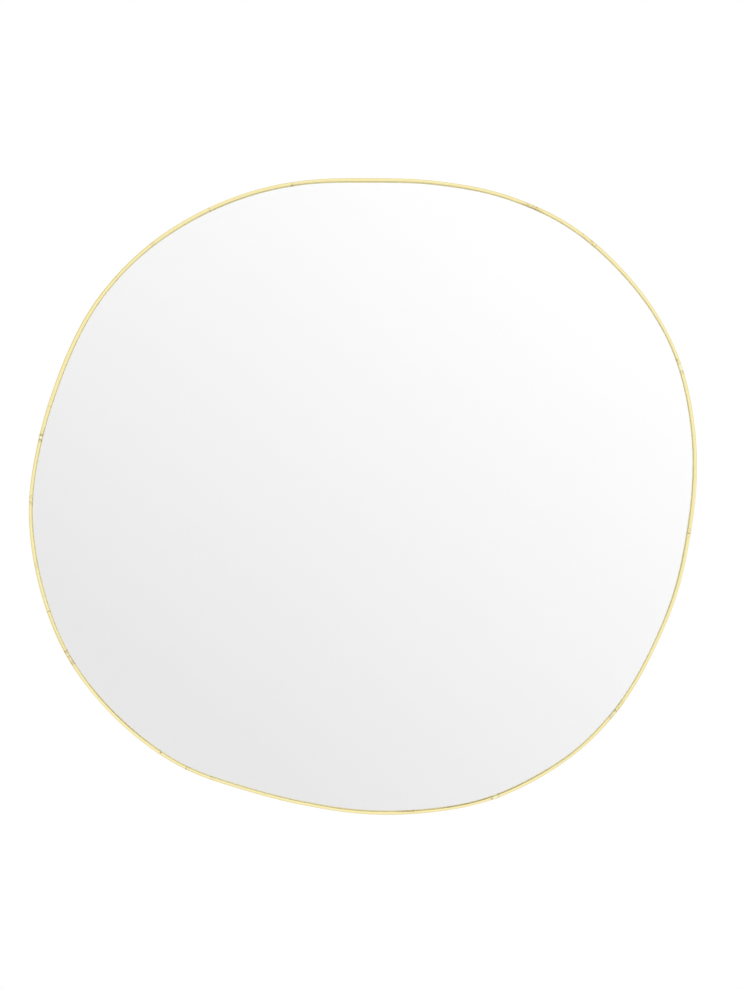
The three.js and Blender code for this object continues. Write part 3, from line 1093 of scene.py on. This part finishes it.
    def bead_section(self, half: float, high: float, lean: float) -> list[tuple[float, float]]:
        """The bead's cross-section, from its inner foot round over the crown and back.

        Args:
            half: Half its width.
            high: Its height as a share of the full one.
            lean: How far its crown leans out of the mirror.

        Returns:
            Points (out of the mirror, towards the viewer), from the middle of the bead.
        """
        rise = (self.bead_height - self.bead_shoulder) * high
        squeeze = half / math.hypot(half, lean)
        section = [(self.undercut - half, 0.0)]
        section += [(-half * wide, self.bead_shoulder * up) for wide, up in self.inner_side]
        for step in range(self.crown_segments + 1):
            angle = math.pi * (1 - step / self.crown_segments)
            across = (half * math.cos(angle) + lean * math.sin(angle)) * squeeze
            section.append((across, self.bead_shoulder + rise * math.sin(angle)))
        section += [(half * wide, self.bead_shoulder * up) for wide, up in self.outer_side]
        return [*section, (0.0, 0.0)]

    def bead_station(
        self, turn: float, notch: float = 0.0, torch: float = 0.0, swell: float = 0.0, bulge: float = 0.0
    ) -> Station:
        """One cross-section of the bead with all that handwork has done to it.

        Args:
            turn: How far round it is.
            notch: How much lower it is than the bead, as a share of its height.
            torch: How dark brazing has left it, 0 to 1.
            swell: How far it stands proud of the bead, in metres.
            bulge: How far it spreads past the bead's outer side, in metres.

        Returns:
            The cross-section.
        """
        metres = turn * self.outline.perimeter
        # each noise is read along a line of its own
        ripple = noise.noise(Vector((metres / self.ripple_length, 3.7, 0.0)))
        wave = noise.noise(Vector((metres / self.wave_length, 9.2, 0.0)))
        seam, lump, flat = (
            self.strength(turn, kind) for kind in (MarkKind.SEAM, MarkKind.LUMP, MarkKind.FLAT)
        )
        wide, high = (
            usual + waved * wave - pinched * seam
            for usual, waved, pinched in zip(self.usual, self.wave, self.seam_pinch)
        )
        high += self.ripple * ripple + self.lump_rise * lump - self.flat_drop * flat
        high = min(high, 1.0) * (1 - notch) + swell / self.bead_height
        lean, width, inset = self.shape_at(turn)
        half = width / 2 * (wide - self.notch_pinch * notch)
        section = self.bead_section(half + bulge / 2, high, lean + self.ripple_lean * ripple)
        place, outward = self.outline.at(turn, inset + width / 2 - bulge / 2)
        heat, pits = [], []
        for out, _ in section:
            across = out / half
            # scorch marks add browning, and on the inner foot painted shade in the corner against the glass
            heat.append(min(1.0, torch + seam + self.strength(turn, MarkKind.SCORCH_AND_SHADE, across)))
            pits.append(min(1.0, self.torch_pits * torch + self.strength(turn, MarkKind.PITTED, across)))
        return Station(place + TOWARD_VIEWER * -self.glass_front, outward, metres, section, heat, pits)

    def bead(self, index: int) -> None:
        """One stretch of the bead, from a joint to the next.

        Args:
            index: Number of the joint that it starts from, from 0.
        """
        ends = self.joints[index], self.joints[(index + 1) % len(self.joints)]
        start, end = self.stretch(index, *(joint.length / 2 * MM - self.overlap for joint in ends))
        stations = []
        for turn in self.turns_between(start, end):
            joint, end_off = min(
                (ends[1], (end - turn) * self.outline.perimeter),
                (ends[0], (turn - start) * self.outline.perimeter), key=lambda joint_off: joint_off[1],
            )
            notch = joint.notch * fade(end_off, self.dip_reach)
            stations.append(self.bead_station(turn, notch, joint.browned * fade(end_off, self.heat_reach)))
        name = f"rim_bead_{index + 1}"
        self.bench.deliver(swept(stations), f"half_round_{name}", name, "brass", BRASS)

    def knuckle(self, index: int) -> None:
        """The braze that joins two stretches of the bead, a small swelling with browned ends.

        Args:
            index: Number of the joint, from 0.
        """
        joint = self.joints[index]
        length = joint.length * MM
        steps = max(8, round(length / self.knuckle_step))
        stations = []
        for step in range(steps + 1):
            off = (step / steps - 0.5) * length
            to_end = (2 * off / length) ** 2
            dome = 1 - to_end
            stations.append(self.bead_station(
                self.joint_turns[index] + off / self.outline.perimeter, joint.notch * to_end,
                joint.browned * fade(length / 2 - abs(off), self.heat_reach / 3),
                joint.swell * MM * dome + self.cover, joint.bulge * MM * dome + self.cover,
            ))
        name = f"rim_knuckle_{index + 1}"
        self.bench.deliver(swept(stations), f"brazed_{name}", name, "brazing", BRAZE)

    def band(self, index: int) -> None:
        """One stretch of the flat band round the edge, as deep as the glass and most of the board.

        Args:
            index: Number of the joint that it starts from, from 0.
        """
        node = f"rim_band_{index + 1}"
        low, high, _ = extent(node)
        start, end = self.stretch(index, self.band_gap / 2, self.band_gap / 2)
        depth, wall, soft = high.y - low.y, self.band_thickness, self.band_round
        section = []
        for corner_out, corner_up, from_angle in (
            (-soft, soft, -90), (-soft, depth - soft, 0),
            (soft - wall, depth - soft, 90), (soft - wall, soft, 180),
        ):
            for step in range(self.band_round_segments + 1):
                angle = math.radians(from_angle + 90 * step / self.band_round_segments)
                section.append((corner_out + soft * math.cos(angle), corner_up + soft * math.sin(angle)))
        run = (end - start) * self.outline.perimeter
        count = max(8, round(run / self.band_step))
        stations = []
        for step in range(count + 1):
            turn = start + (end - start) * step / count
            place, outward = self.outline.at(turn, self.shape_at(turn)[2])
            torch = self.band_browned * fade(min(step, count - step) * run / count, self.band_heat_reach)
            stations.append(Station(
                place + TOWARD_VIEWER * -high.y, outward, turn * self.outline.perimeter, section,
                [torch] * len(section), [self.band_pits * torch] * len(section),
            ))
        self.bench.deliver(swept(stations), f"flat_{node}", node, "brass", BRASS)

    def build(self) -> None:
        """Builds every stretch and joint of the rim."""
        for index in range(len(self.joints)):
            self.bead(index)
            self.knuckle(index)
            self.band(index)


# ---------------------------------------------------------------- screws


@dataclass
class PanHeadScrew:
    """A zinc-plated pan-head wood screw with a cross recess. Its head's underside is at Y = 0."""

    length: float
    head_radius: float = 2.8 * MM
    head_height: float = 1.8 * MM
    head_edge: float = 0.12 * MM  # height of the head's widest line
    dome_shares: tuple[float, ...] = (0.35, 0.5, 0.64, 0.78, 0.9)  # of a quarter turn up the head's side
    dome_power: float = 2.4
    dome_taper: float = 0.45
    core_radius: float = 1.05 * MM
    thread_radius: float = 1.45 * MM
    thread_pitch: float = 1.1 * MM
    bare_neck: float = 0.2 * MM
    tip_length: float = 2 * MM
    recess_span: float = 3.2 * MM
    recess_width: float = 0.8 * MM
    recess_depth: float = 1 * MM
    recess_taper: float = 0.62
    sides: int = 28

    def profile(self) -> list[tuple[float, float]]:
        """The screw's outline from its tip to the middle of its head.

        Returns:
            Points (radius, along Y).
        """
        ridge = self.tip_length - self.length
        points = [(0.0, -self.length), (self.core_radius, ridge)]
        while ridge + self.thread_pitch < -self.bare_neck:
            points += [
                (self.core_radius, ridge + 0.3 * self.thread_pitch),
                (self.thread_radius, ridge + 0.5 * self.thread_pitch),
                (self.core_radius, ridge + 0.7 * self.thread_pitch),
            ]
            ridge += self.thread_pitch
        points += [
            (self.core_radius, 0.0), (self.head_radius * 0.97, 0.0), (self.head_radius, self.head_edge),
        ]
        for share in self.dome_shares:
            radius = self.head_radius * (1 - share**self.dome_power * self.dome_taper)
            points.append((radius, self.head_height * math.sin(share * math.pi / 2)))
        return [*points, (0.0, self.head_height)]

    def made(self) -> BMesh:
        """Makes the screw.

        Returns:
            Its mesh, at the origin.
        """
        cutters = []
        for across, up in ((self.recess_span, self.recess_width), (self.recess_width, self.recess_span)):
            bm = bmesh.new()
            bmesh.ops.create_cube(bm, size=1.0)
            bmesh.ops.scale(bm, vec=(across, 2 * self.recess_depth, up), verts=bm.verts)
            # the recess narrows as it goes down, as the driver's tip does
            low = [v for v in bm.verts if v.co.y < 0]
            bmesh.ops.scale(bm, vec=(self.recess_taper, 1.0, self.recess_taper), verts=low)
            move(bm, (0.0, self.head_height, 0.0))
            cutters.append(bm)
        return cut_out(spun(self.profile(), self.sides), cutters)


@dataclass
class Screws:
    """Puts screws in, each turned its own way."""

    bench: Bench
    seed: int = 11
    chance: random.Random = field(init=False)

    def __post_init__(self) -> None:
        """Starts the seeded draws."""
        self.chance = random.Random(self.seed)

    def drive(self, pattern: BMesh, node: str) -> None:
        """Puts a copy of a screw where the CAD has it.

        Args:
            pattern: The screw's mesh at the origin.
            node: The CAD node that it replaces.
        """
        _, high, middle = extent(node)
        bm = pattern.copy()
        rotate(bm, self.chance.uniform(0, math.pi / 2), "Y")
        head_height = max(v.co.y for v in bm.verts)
        move(bm, (middle.x, high.y - head_height, middle.z))
        self.bench.deliver(bm, f"pan_head_{node}", node, "zinc", ZINC)


# ---------------------------------------------------------------- lugs


@dataclass
class ClampLugs:
    """Eight brass lugs brazed inside the band, and their screws in the board.

    Only a lug's upright part and its bend are drawn here. The leaf that lies on the board under the
    screw, 14 mm long in the CAD, is missing.
    """

    bench: Bench
    outline: Outline
    screws: Screws
    count: int = 8
    width: float = 12 * MM
    thickness: float = 1.2 * MM
    upstand: float = 3.6 * MM
    bend_radius: float = 0.5 * MM  # on the inside of the bend
    edge_round: float = 0.15 * MM
    inset: float = 1.5 * MM  # from the rim's outer edge to the upstand's outer face
    screw_length: float = 8.5 * MM
    browned: float = 0.8
    heat_reach: float = 4 * MM
    # the run of braze in the corner: half its size out of the mirror and in depth, and its length
    braze_across: float = 0.75 * MM
    braze_deep: float = 0.5 * MM
    braze_share: float = 0.98  # of the lug's width
    braze_lumps: float = 1.6 * MM
    braze_unevenness: float = 0.25
    braze_out: float = -1.55 * MM
    braze_up: float = 3.45 * MM

    def pattern(self) -> BMesh:
        """One lug at the origin: the outline at X = 0, the board's back at Y = 0, the wall towards +Y.

        Returns:
            The lug, with its run of braze as material 1.
        """
        corner = self.thickness + self.bend_radius
        straight = -self.inset - corner
        bm = bmesh.new()
        # the lug starts as the flat end of its bend, which closes that end
        bmesh.ops.create_grid(bm, x_segments=8, y_segments=1, size=0.5)
        for vert in bm.verts:
            vert.co = (straight, self.thickness if vert.co.y > 0 else 0.0, vert.co.x * self.width)
        upright = bend(bm, bm.faces[:], (straight, corner, 0.0), (0.0, 0.0, 1.0), math.pi / 2, 6)
        draw_on(bm, upright, (0.0, self.upstand - corner, 0.0))
        close_up(bm, 0.0005 * MM)
        soften(bm, self.edge_round, sharper_than=math.radians(50))
        self.add_braze(bm)
        return bm

    def add_braze(self, bm: BMesh) -> None:
        """Adds the run of braze between the upstand's end and the band, an uneven small bead.

        Args:
            bm: The lug's mesh.
        """
        before = set(bm.verts)
        made = bmesh.ops.create_uvsphere(bm, u_segments=16, v_segments=24, radius=1.0)["verts"]
        for vert in made:
            along = vert.co.z * self.width / 2 * self.braze_share
            lumpy = 1 + self.braze_unevenness * noise.noise(Vector((along / self.braze_lumps, 1.3, 0.0)))
            # the run keeps its thickness almost to its ends
            full = lumpy / max(math.sqrt(1 - min(vert.co.z**2, 0.999)), 0.2) ** 0.6
            across, deep = vert.co.x * self.braze_across * full, vert.co.y * self.braze_deep * full
            vert.co = (self.braze_out + across, self.braze_up + deep, along)
        for face in bm.faces:
            if before.isdisjoint(face.verts):
                face.material_index = 1

    def build(self) -> None:
        """Builds the lugs and drives their screws."""
        pattern = self.pattern()
        screw = PanHeadScrew(self.screw_length).made()
        board_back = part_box("backing_board")[1][1]
        for index in range(self.count):
            place, outward = self.outline.at((index + 0.5) / self.count)
            bm = pattern.copy()
            lie = bm.verts.layers.float_vector.new(LIE)
            heat = bm.verts.layers.float.new(HEAT_AND_SHADE)
            bm.verts.layers.float.new(PITS)
            for vert in bm.verts:
                vert[lie] = (vert.co.z, vert.co.x + vert.co.y, 0.0)
                vert[heat] = self.browned * fade(vert.co.x + self.inset, self.heat_reach)
            rotate(bm, math.atan2(-outward.z, outward.x), "Y")
            move(bm, (place.x, board_back, place.z))
            node = f"rim_lug_{index + 1}"
            self.bench.deliver(bm, f"brazed_{node}", node, "brass", BRASS, BRAZE)
            self.screws.drive(screw, f"lug_screw_{index + 1}")
        pattern.free()
        screw.free()


# ---------------------------------------------------------------- hangers


@dataclass
class Hanger:
    """A folded steel strap with a D ring swinging in its eye, screwed to the board."""

    bench: Bench
    screws: Screws
    side: Side
    strap_width: float = 12 * MM
    strap_thickness: float = 1 * MM
    strap_length: float = 46 * MM
    strap_round: float = 0.14 * MM
    leaf_gap: float = 0.2 * MM
    eye_inner: float = 1.85 * MM
    eye_closes_at: float = math.radians(-60)
    corner_radius: float = 2 * MM
    hole_drops: tuple[float, ...] = (27 * MM, 39 * MM)
    hole_radius: float = 1.75 * MM
    screw_length: float = 9 * MM
    wire_radius: float = 1.5 * MM
    wire_end_round: float = 0.2 * MM
    ring_half_width: float = 12.5 * MM
    ring_side_drop: float = 9 * MM
    ring_corner: float = 3.5 * MM
    ring_gap: float = 0.4 * MM
    rest_tilt: float = math.radians(3.2)

    @property
    def pivot(self) -> Vector:
        """The ring's axis at the middle of the strap."""
        low, _, middle = extent(f"{self.side.value}_hanger_strap")
        return Vector((middle.x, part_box("backing_board")[1][1] + self.pivot_off, low.z + self.strap_length))

    @property
    def pivot_off(self) -> float:
        """How far the ring's axis is from the board."""
        return self.eye_inner + self.strap_thickness

    def strap(self) -> BMesh:
        """The strap, with the pivot at the origin.

        Returns:
            Its mesh.
        """
        half = self.strap_width / 2
        bm = bmesh.new()
        # a line across the strip's outer face: up the leaf on the board, round the eye, down the other leaf
        start = [bm.verts.new((x, -self.pivot_off, -self.strap_length)) for x in (-half, half)]
        end = draw_on(bm, [bm.edges.new(start)], (0.0, 0.0, self.strap_length))
        end = bend(bm, end, (0.0, 0.0, 0.0), (1.0, 0.0, 0.0), self.eye_closes_at - math.pi, 20)
        here = end[0].verts[0].co.copy()
        outer_off = 2 * self.strap_thickness + self.leaf_gap - self.pivot_off
        drop = abs((here.y - outer_off) * math.tan(math.pi / 6))
        end = draw_on(bm, end, (0.0, outer_off - here.y, -drop))
        draw_on(bm, end, (0.0, 0.0, -self.strap_length - end[0].verts[0].co.z))
        bmesh.ops.recalc_face_normals(bm, faces=bm.faces)
        # the sheet's normals all point to one side; the strip's wall goes to the eye's side
        top = max(bm.faces, key=lambda f: f.calc_center_median().z)
        inward = 1.0 if top.normal.z > 0 else -1.0
        corners = [v for v in bm.verts if len(v.link_edges) == 2]
        bmesh.ops.bevel(
            bm, geom=corners, offset=self.corner_radius, offset_type="OFFSET", segments=5, profile=0.5,
            affect="VERTICES", material=-1,
        )
        bmesh.ops.solidify(bm, geom=bm.faces[:], thickness=inward * self.strap_thickness)
        bmesh.ops.recalc_face_normals(bm, faces=bm.faces)
        soften(bm, self.strap_round, sharper_than=math.radians(60))
        return cut_out(bm, [drill(self.hole_radius, 0.1, 0.0, -drop) for drop in self.hole_drops])

    def ring(self) -> BMesh:
        """The ring of bent wire, its bar along X through the origin and its D hanging down.

        Returns:
            Its mesh.
        """
        bar_end, axis = self.ring_half_width - self.ring_corner, (0.0, 1.0, 0.0)
        half_bar, drop = bar_end - self.ring_gap / 2, self.ring_side_drop - self.ring_corner
        bm = bmesh.new()
        bmesh.ops.create_circle(bm, cap_ends=True, segments=20, radius=self.wire_radius)
        rotate(bm, math.pi / 2, "Y")
        move(bm, (self.ring_gap / 2, 0.0, 0.0))
        end = draw_on(bm, bm.faces[:], (half_bar, 0.0, 0.0))
        end = bend(bm, end, (bar_end, 0.0, -self.ring_corner), axis, math.pi / 2, 8)
        end = draw_on(bm, end, (0.0, 0.0, -drop))
        end = bend(bm, end, (0.0, 0.0, -self.ring_side_drop), axis, math.pi, 28)
        end = draw_on(bm, end, (0.0, 0.0, drop))
        end = bend(bm, end, (-bar_end, 0.0, -self.ring_corner), axis, math.pi / 2, 8)
        draw_on(bm, end, (half_bar, 0.0, 0.0))
        close_up(bm, 0.0001 * MM)
        soften(bm, self.wire_end_round, sharper_than=math.radians(60))
        return bm

    def build(self) -> None:
        """Builds the hanger and drives its screws."""
        side = self.side.value
        strap = self.strap()
        move(strap, self.pivot)
        self.bench.deliver(strap, f"folded_{side}_strap", f"{side}_hanger_strap", "zinc", ZINC)
        ring = self.ring()
        rotate(ring, self.rest_tilt, "X")
        move(ring, self.pivot)
        self.bench.deliver(
            ring, f"bent_wire_{side}_ring", f"{side}_hanger_ring", "zinc", ZINC, body=self.side.ring_body,
        )
        screw = PanHeadScrew(self.screw_length).made()
        for number in range(1, len(self.hole_drops) + 1):
            self.screws.drive(screw, f"{side}_hanger_screw_{number}")
        screw.free()


# ---------------------------------------------------------------- glass, board and bumpers


@dataclass
class Glazing:
    """The glass with its silvering, and the tapes that hold it to the board."""

    bench: Bench
    outline: Outline
    sides: int = 720
    arris: float = 0.4 * MM
    silver_gap: float = 0.02 * MM  # keeps the silver's face from lying in the glass's face
    tape_count: int = 5

    def glass(self) -> None:
        """The clear sheet, its edge ground and its corners taken off."""
        low, high, _ = extent("glass_sheet")
        bm = self.outline.sheet(low.y, high.y - self.silver_gap, self.sides)
        soften(bm, self.arris, segments=1)
        for face in bm.faces:
            face.material_index = 0 if len(face.verts) > 4 else 1
        self.bench.deliver(bm, "float_glass_sheet", "glass_sheet", "glass", GLASS, GLASS_EDGE)

    def silvering(self) -> None:
        """The silver behind the glass, with its paint towards the board."""
        low, high, _ = extent("silver_coating")
        bm = self.outline.sheet(low.y, high.y, self.sides)
        for face in bm.faces:
            face.material_index = 0 if face.normal.y < -0.5 else 1
        self.bench.deliver(bm, "silvering_and_paint", "silver_coating", "silver", SILVER, PAINT)

    def build(self) -> None:
        """Builds the glass and its silvering, and dresses the tapes."""
        self.glass()
        self.silvering()
        for number in range(1, self.tape_count + 1):
            self.bench.redress(f"mounting_tape_{number}", TAPE)


@dataclass
class Back:
    """The fibreboard and its rubber bumpers, which keep the mirror off the wall."""

    bench: Bench
    outline: Outline
    sides: int = 480
    edge_round: float = 0.3 * MM
    hole_radius: float = 1.75 * MM
    screw_nodes: tuple[str, ...] = (
        *(f"lug_screw_{number}" for number in range(1, 9)),
        *(f"{side.value}_hanger_screw_{number}" for side in Side for number in (1, 2)),
    )
    bumper_count: int = 4
    bumper_radius: float = 6 * MM
    bumper_base: float = 6.6 * MM
    bumper_round: float = 0.9 * MM
    bumper_sides: int = 48
    flash: float = 0.25 * MM  # the mould's thin line at the bumper's foot
    dimple: float = 0.5 * MM

    def board(self) -> None:
        """The board, with its pilot holes drilled."""
        low, high, _ = extent("backing_board")
        bm = self.outline.sheet(low.y, high.y, self.sides)
        soften(bm, self.edge_round)
        middles = [extent(node)[2] for node in self.screw_nodes]
        bm = cut_out(bm, [drill(self.hole_radius, 0.1, middle.x, middle.z) for middle in middles])
        for face in bm.faces:
            face.material_index = 0 if abs(face.normal.y) > 0.5 else 1
        self.bench.deliver(bm, "fibreboard_back", "backing_board", "fibreboard", BOARD_FACE, BOARD_EDGE)

    def bumper(self, number: int) -> None:
        """One rubber bumper, a low cone with a rounded end and a dimple in it.

        Args:
            number: The bumper's number.
        """
        node = f"wall_bumper_{number}"
        low, high, middle = extent(node)
        height, radius, soft = high.y - low.y, self.bumper_radius, self.bumper_round
        profile = [(0.0, 0.0), (self.bumper_base - 0.2 * MM, 0.0), (self.bumper_base, self.flash)]
        for step in range(6):
            angle = math.pi / 2 * step / 5
            profile.append((radius - soft + soft * math.cos(angle), height - soft + soft * math.sin(angle)))
        for share, depth in ((0.45, 0.0), (0.38, 0.6), (0.25, 1.0), (0.0, 1.0)):
            profile.append((radius * share, height - depth * self.dimple))
        bm = spun(profile, self.bumper_sides)
        move(bm, (middle.x, low.y, middle.z))
        self.bench.deliver(bm, f"rubber_{node}", node, "rubber", RUBBER)

    def build(self) -> None:
        """Builds the board and its bumpers."""
        self.board()
        for number in range(1, self.bumper_count + 1):
            self.bumper(number)


# ---------------------------------------------------------------- studio


@dataclass
class Studio:
    """A white studio: soft light, a pale floor well below the mirror, and the camera."""

    camera_place: tuple[float, float, float] = (0.0100, -3.5, 0.0016)
    focal_length: float = 105.76  # mm, on a 36 mm sensor
    floor_height: float = -1.5
    floor_radius: float = 4.0
    floor_fade: tuple[float, float] = (0.2, 0.95)  # shares of its radius where it starts and ends to fade
    floor_white: tuple[float, float] = (0.45, 1.0)  # how far it is the background's white there
    lamps: tuple[tuple[str, tuple[float, float, float], float], ...] = (  # name, place and watts
        ("soft_front_lamp", (-1.6, -2.6, 2.2), 34.0), ("soft_back_lamp", (1.4, 2.6, 2.0), 30.0),
    )
    lamp_size: float = 1.6
    diffuse_light: float = 0.8
    front_level: float = 0.94  # what the mirror shows straight ahead, where 1 is white
    rise_across: float = 0.68  # how much brighter it gets towards +X and +Z
    rise_up: float = 0.83
    darkest_front: float = 0.835
    brightest_front: float = 1.06
    lit_levels: tuple[float, float] = (0.94, 1.11)  # the soft light round the camera, far below and above it
    lit_span: tuple[float, float] = (0.15, 0.25)  # sine of the angle off the mirror's axis, where it comes in
    side_span: tuple[float, float] = (-0.35, -0.2)  # Y of the direction, where the side walls come in
    back_span: tuple[float, float] = (-0.02, 0.16)  # the same for the white behind the mirror
    wall_span: tuple[float, float] = (0.3, 0.85)  # X of the direction, from the left wall to the right one
    wall_levels: tuple[float, float] = (0.45, 0.7)  # the dim walls, which draw the bead's edges

    def world(self) -> None:
        """The light all round: white behind, a soft gradient in front, and dimmer at the sides."""
        world = bpy.data.worlds.new("studio")
        bpy.context.scene.world = world
        world.use_nodes = True
        tree = world.node_tree
        tree.nodes.clear()
        way = add_node(tree, "SeparateXYZ", {0: add_node(tree, "TexCoord").outputs["Generated"]}).outputs
        slope: object = self.front_level
        for direction, rise in (("X", self.rise_across), ("Z", self.rise_up)):
            slope = add_node(
                tree, "Math", {0: way[direction], 1: rise, 2: slope}, operation="MULTIPLY_ADD",
            ).outputs[0]
        front = add_node(tree, "Clamp", {0: slope, 1: self.darkest_front, 2: self.brightest_front})
        lit = add_node(tree, "MapRange", {
            "Value": slope, "From Min": self.front_level - 1, "From Max": self.front_level + 1,
            "To Min": self.lit_levels[0], "To Max": self.lit_levels[1],
        })
        off_axis = add_node(tree, "CombineXYZ", {0: way["X"], 1: way["Z"]})
        tilt = add_node(tree, "VectorMath", {0: off_axis.outputs[0]}, operation="LENGTH")
        to_lit, to_side, to_back, wall = (
            add_node(tree, "MapRange", {
                "Value": value, "From Min": span[0], "From Max": span[1],
                "To Min": levels[0], "To Max": levels[1],
            }, interpolation_type="SMOOTHSTEP").outputs[0]
            for value, span, levels in (
                (tilt.outputs["Value"], self.lit_span, (0.0, 1.0)), (way["Y"], self.side_span, (0.0, 1.0)),
                (way["Y"], self.back_span, (0.0, 1.0)), (way["X"], self.wall_span, self.wall_levels),
            )
        )
        level = front.outputs[0]
        for share, other in ((to_lit, lit.outputs[0]), (to_side, wall), (to_back, 1.0)):
            level = add_node(tree, "Mix", {0: share, 2: level, 3: other}, data_type="FLOAT").outputs[0]
        # only metal and glass see those levels: other pieces get an even light, and the camera sees white
        path = add_node(tree, "LightPath").outputs
        mirrored = add_node(
            tree, "Math", {0: path["Is Glossy Ray"], 1: path["Is Transmission Ray"]}, operation="MAXIMUM",
        ).outputs[0]
        light = add_node(tree, "Mix", {0: mirrored, 2: self.diffuse_light, 3: level}, data_type="FLOAT")
        seen = add_node(
            tree, "Mix", {0: path["Is Camera Ray"], 2: light.outputs[0], 3: 1.0}, data_type="FLOAT",
        )
        background = add_node(tree, "Background", {"Color": linear("#FFFFFF"), "Strength": seen.outputs[0]})
        add_node(tree, "OutputWorld", {"Surface": background.outputs[0]})

    def lamp(self, name: str, place: Sequence[float], watts: float) -> None:
        """A soft square lamp that faces the mirror. Metal and glass show the studio, not the lamp.

        Args:
            name: The lamp's name.
            place: Where it is, in metres.
            watts: Its power.
        """
        light = bpy.data.lights.new(name, "AREA")
        light.shape, light.size, light.energy = "SQUARE", self.lamp_size, watts
        lamp = placed(name, light)
        lamp.location = place
        lamp.rotation_euler = (-Vector(place)).to_track_quat("-Z", "Y").to_euler()
        lamp.visible_camera = lamp.visible_glossy = lamp.visible_transmission = False
        LOG.info("%s: %g W", name, watts)

    def floor(self) -> None:
        """A pale round floor that fades to the white of the background."""
        bm = bmesh.new()
        bmesh.ops.create_circle(bm, cap_ends=True, segments=96, radius=self.floor_radius)
        move(bm, (0.0, 0.0, self.floor_height))
        floor = placed("studio_floor", as_mesh(bm, "studio_floor"))
        floor.visible_glossy = floor.visible_transmission = False
        material = bpy.data.materials.new("pale_studio_floor")
        material.use_nodes = True
        tree = material.node_tree
        shader = tree.nodes["Principled BSDF"]
        feed(shader, {"Base Color": linear("#F2F1EF"), "Roughness": 0.9})
        place = add_node(tree, "TexCoord").outputs["Object"]
        flat = add_node(tree, "VectorMath", {0: place, 1: (1.0, 1.0, 0.0)}, operation="MULTIPLY")
        away = add_node(tree, "VectorMath", {0: flat.outputs[0]}, operation="LENGTH")
        near, far = (share * self.floor_radius for share in self.floor_fade)
        fade_out = add_node(tree, "MapRange", {
            "Value": away.outputs["Value"], "From Min": near, "From Max": far,
            "To Min": self.floor_white[0], "To Max": self.floor_white[1],
        }, interpolation_type="SMOOTHSTEP")
        white = add_node(tree, "Emission", {"Color": linear("#FFFFFF"), "Strength": 1.0})
        mixed = add_node(tree, "MixShader", {
            0: fade_out.outputs[0], 1: shader.outputs[0], 2: white.outputs[0],
        })
        feed(tree.nodes["Material Output"], {"Surface": mixed.outputs[0]})
        floor.data.materials.append(material)

    def camera(self) -> None:
        """The camera, straight in front as in the photograph."""
        data = bpy.data.cameras.new("camera")
        data.lens = self.focal_length
        camera = placed("camera", data)
        camera.location = self.camera_place
        camera.rotation_euler = (math.pi / 2, 0.0, 0.0)
        bpy.context.scene.camera = camera

    def build(self) -> None:
        """Sets the studio up."""
        bpy.context.scene.view_settings.view_transform = "Standard"
        self.world()
        for name, place, watts in self.lamps:
            self.lamp(name, place, watts)
        self.floor()
        self.camera()


def main() -> None:
    """Builds the mirror and its studio, and reports each piece."""
    logging.basicConfig(level=logging.INFO, format="%(name)s: %(message)s")
    bench = Bench()
    outline = Outline()
    LOG.info("outline: %.1f mm round", outline.perimeter / MM)
    screws = Screws(bench)
    Rim(bench, outline).build()
    ClampLugs(bench, outline, screws).build()
    for side in Side:
        Hanger(bench, screws, side).build()
    Glazing(bench, outline).build()
    Back(bench, outline).build()
    Studio().build()


if __name__ == "__main__":
    main()
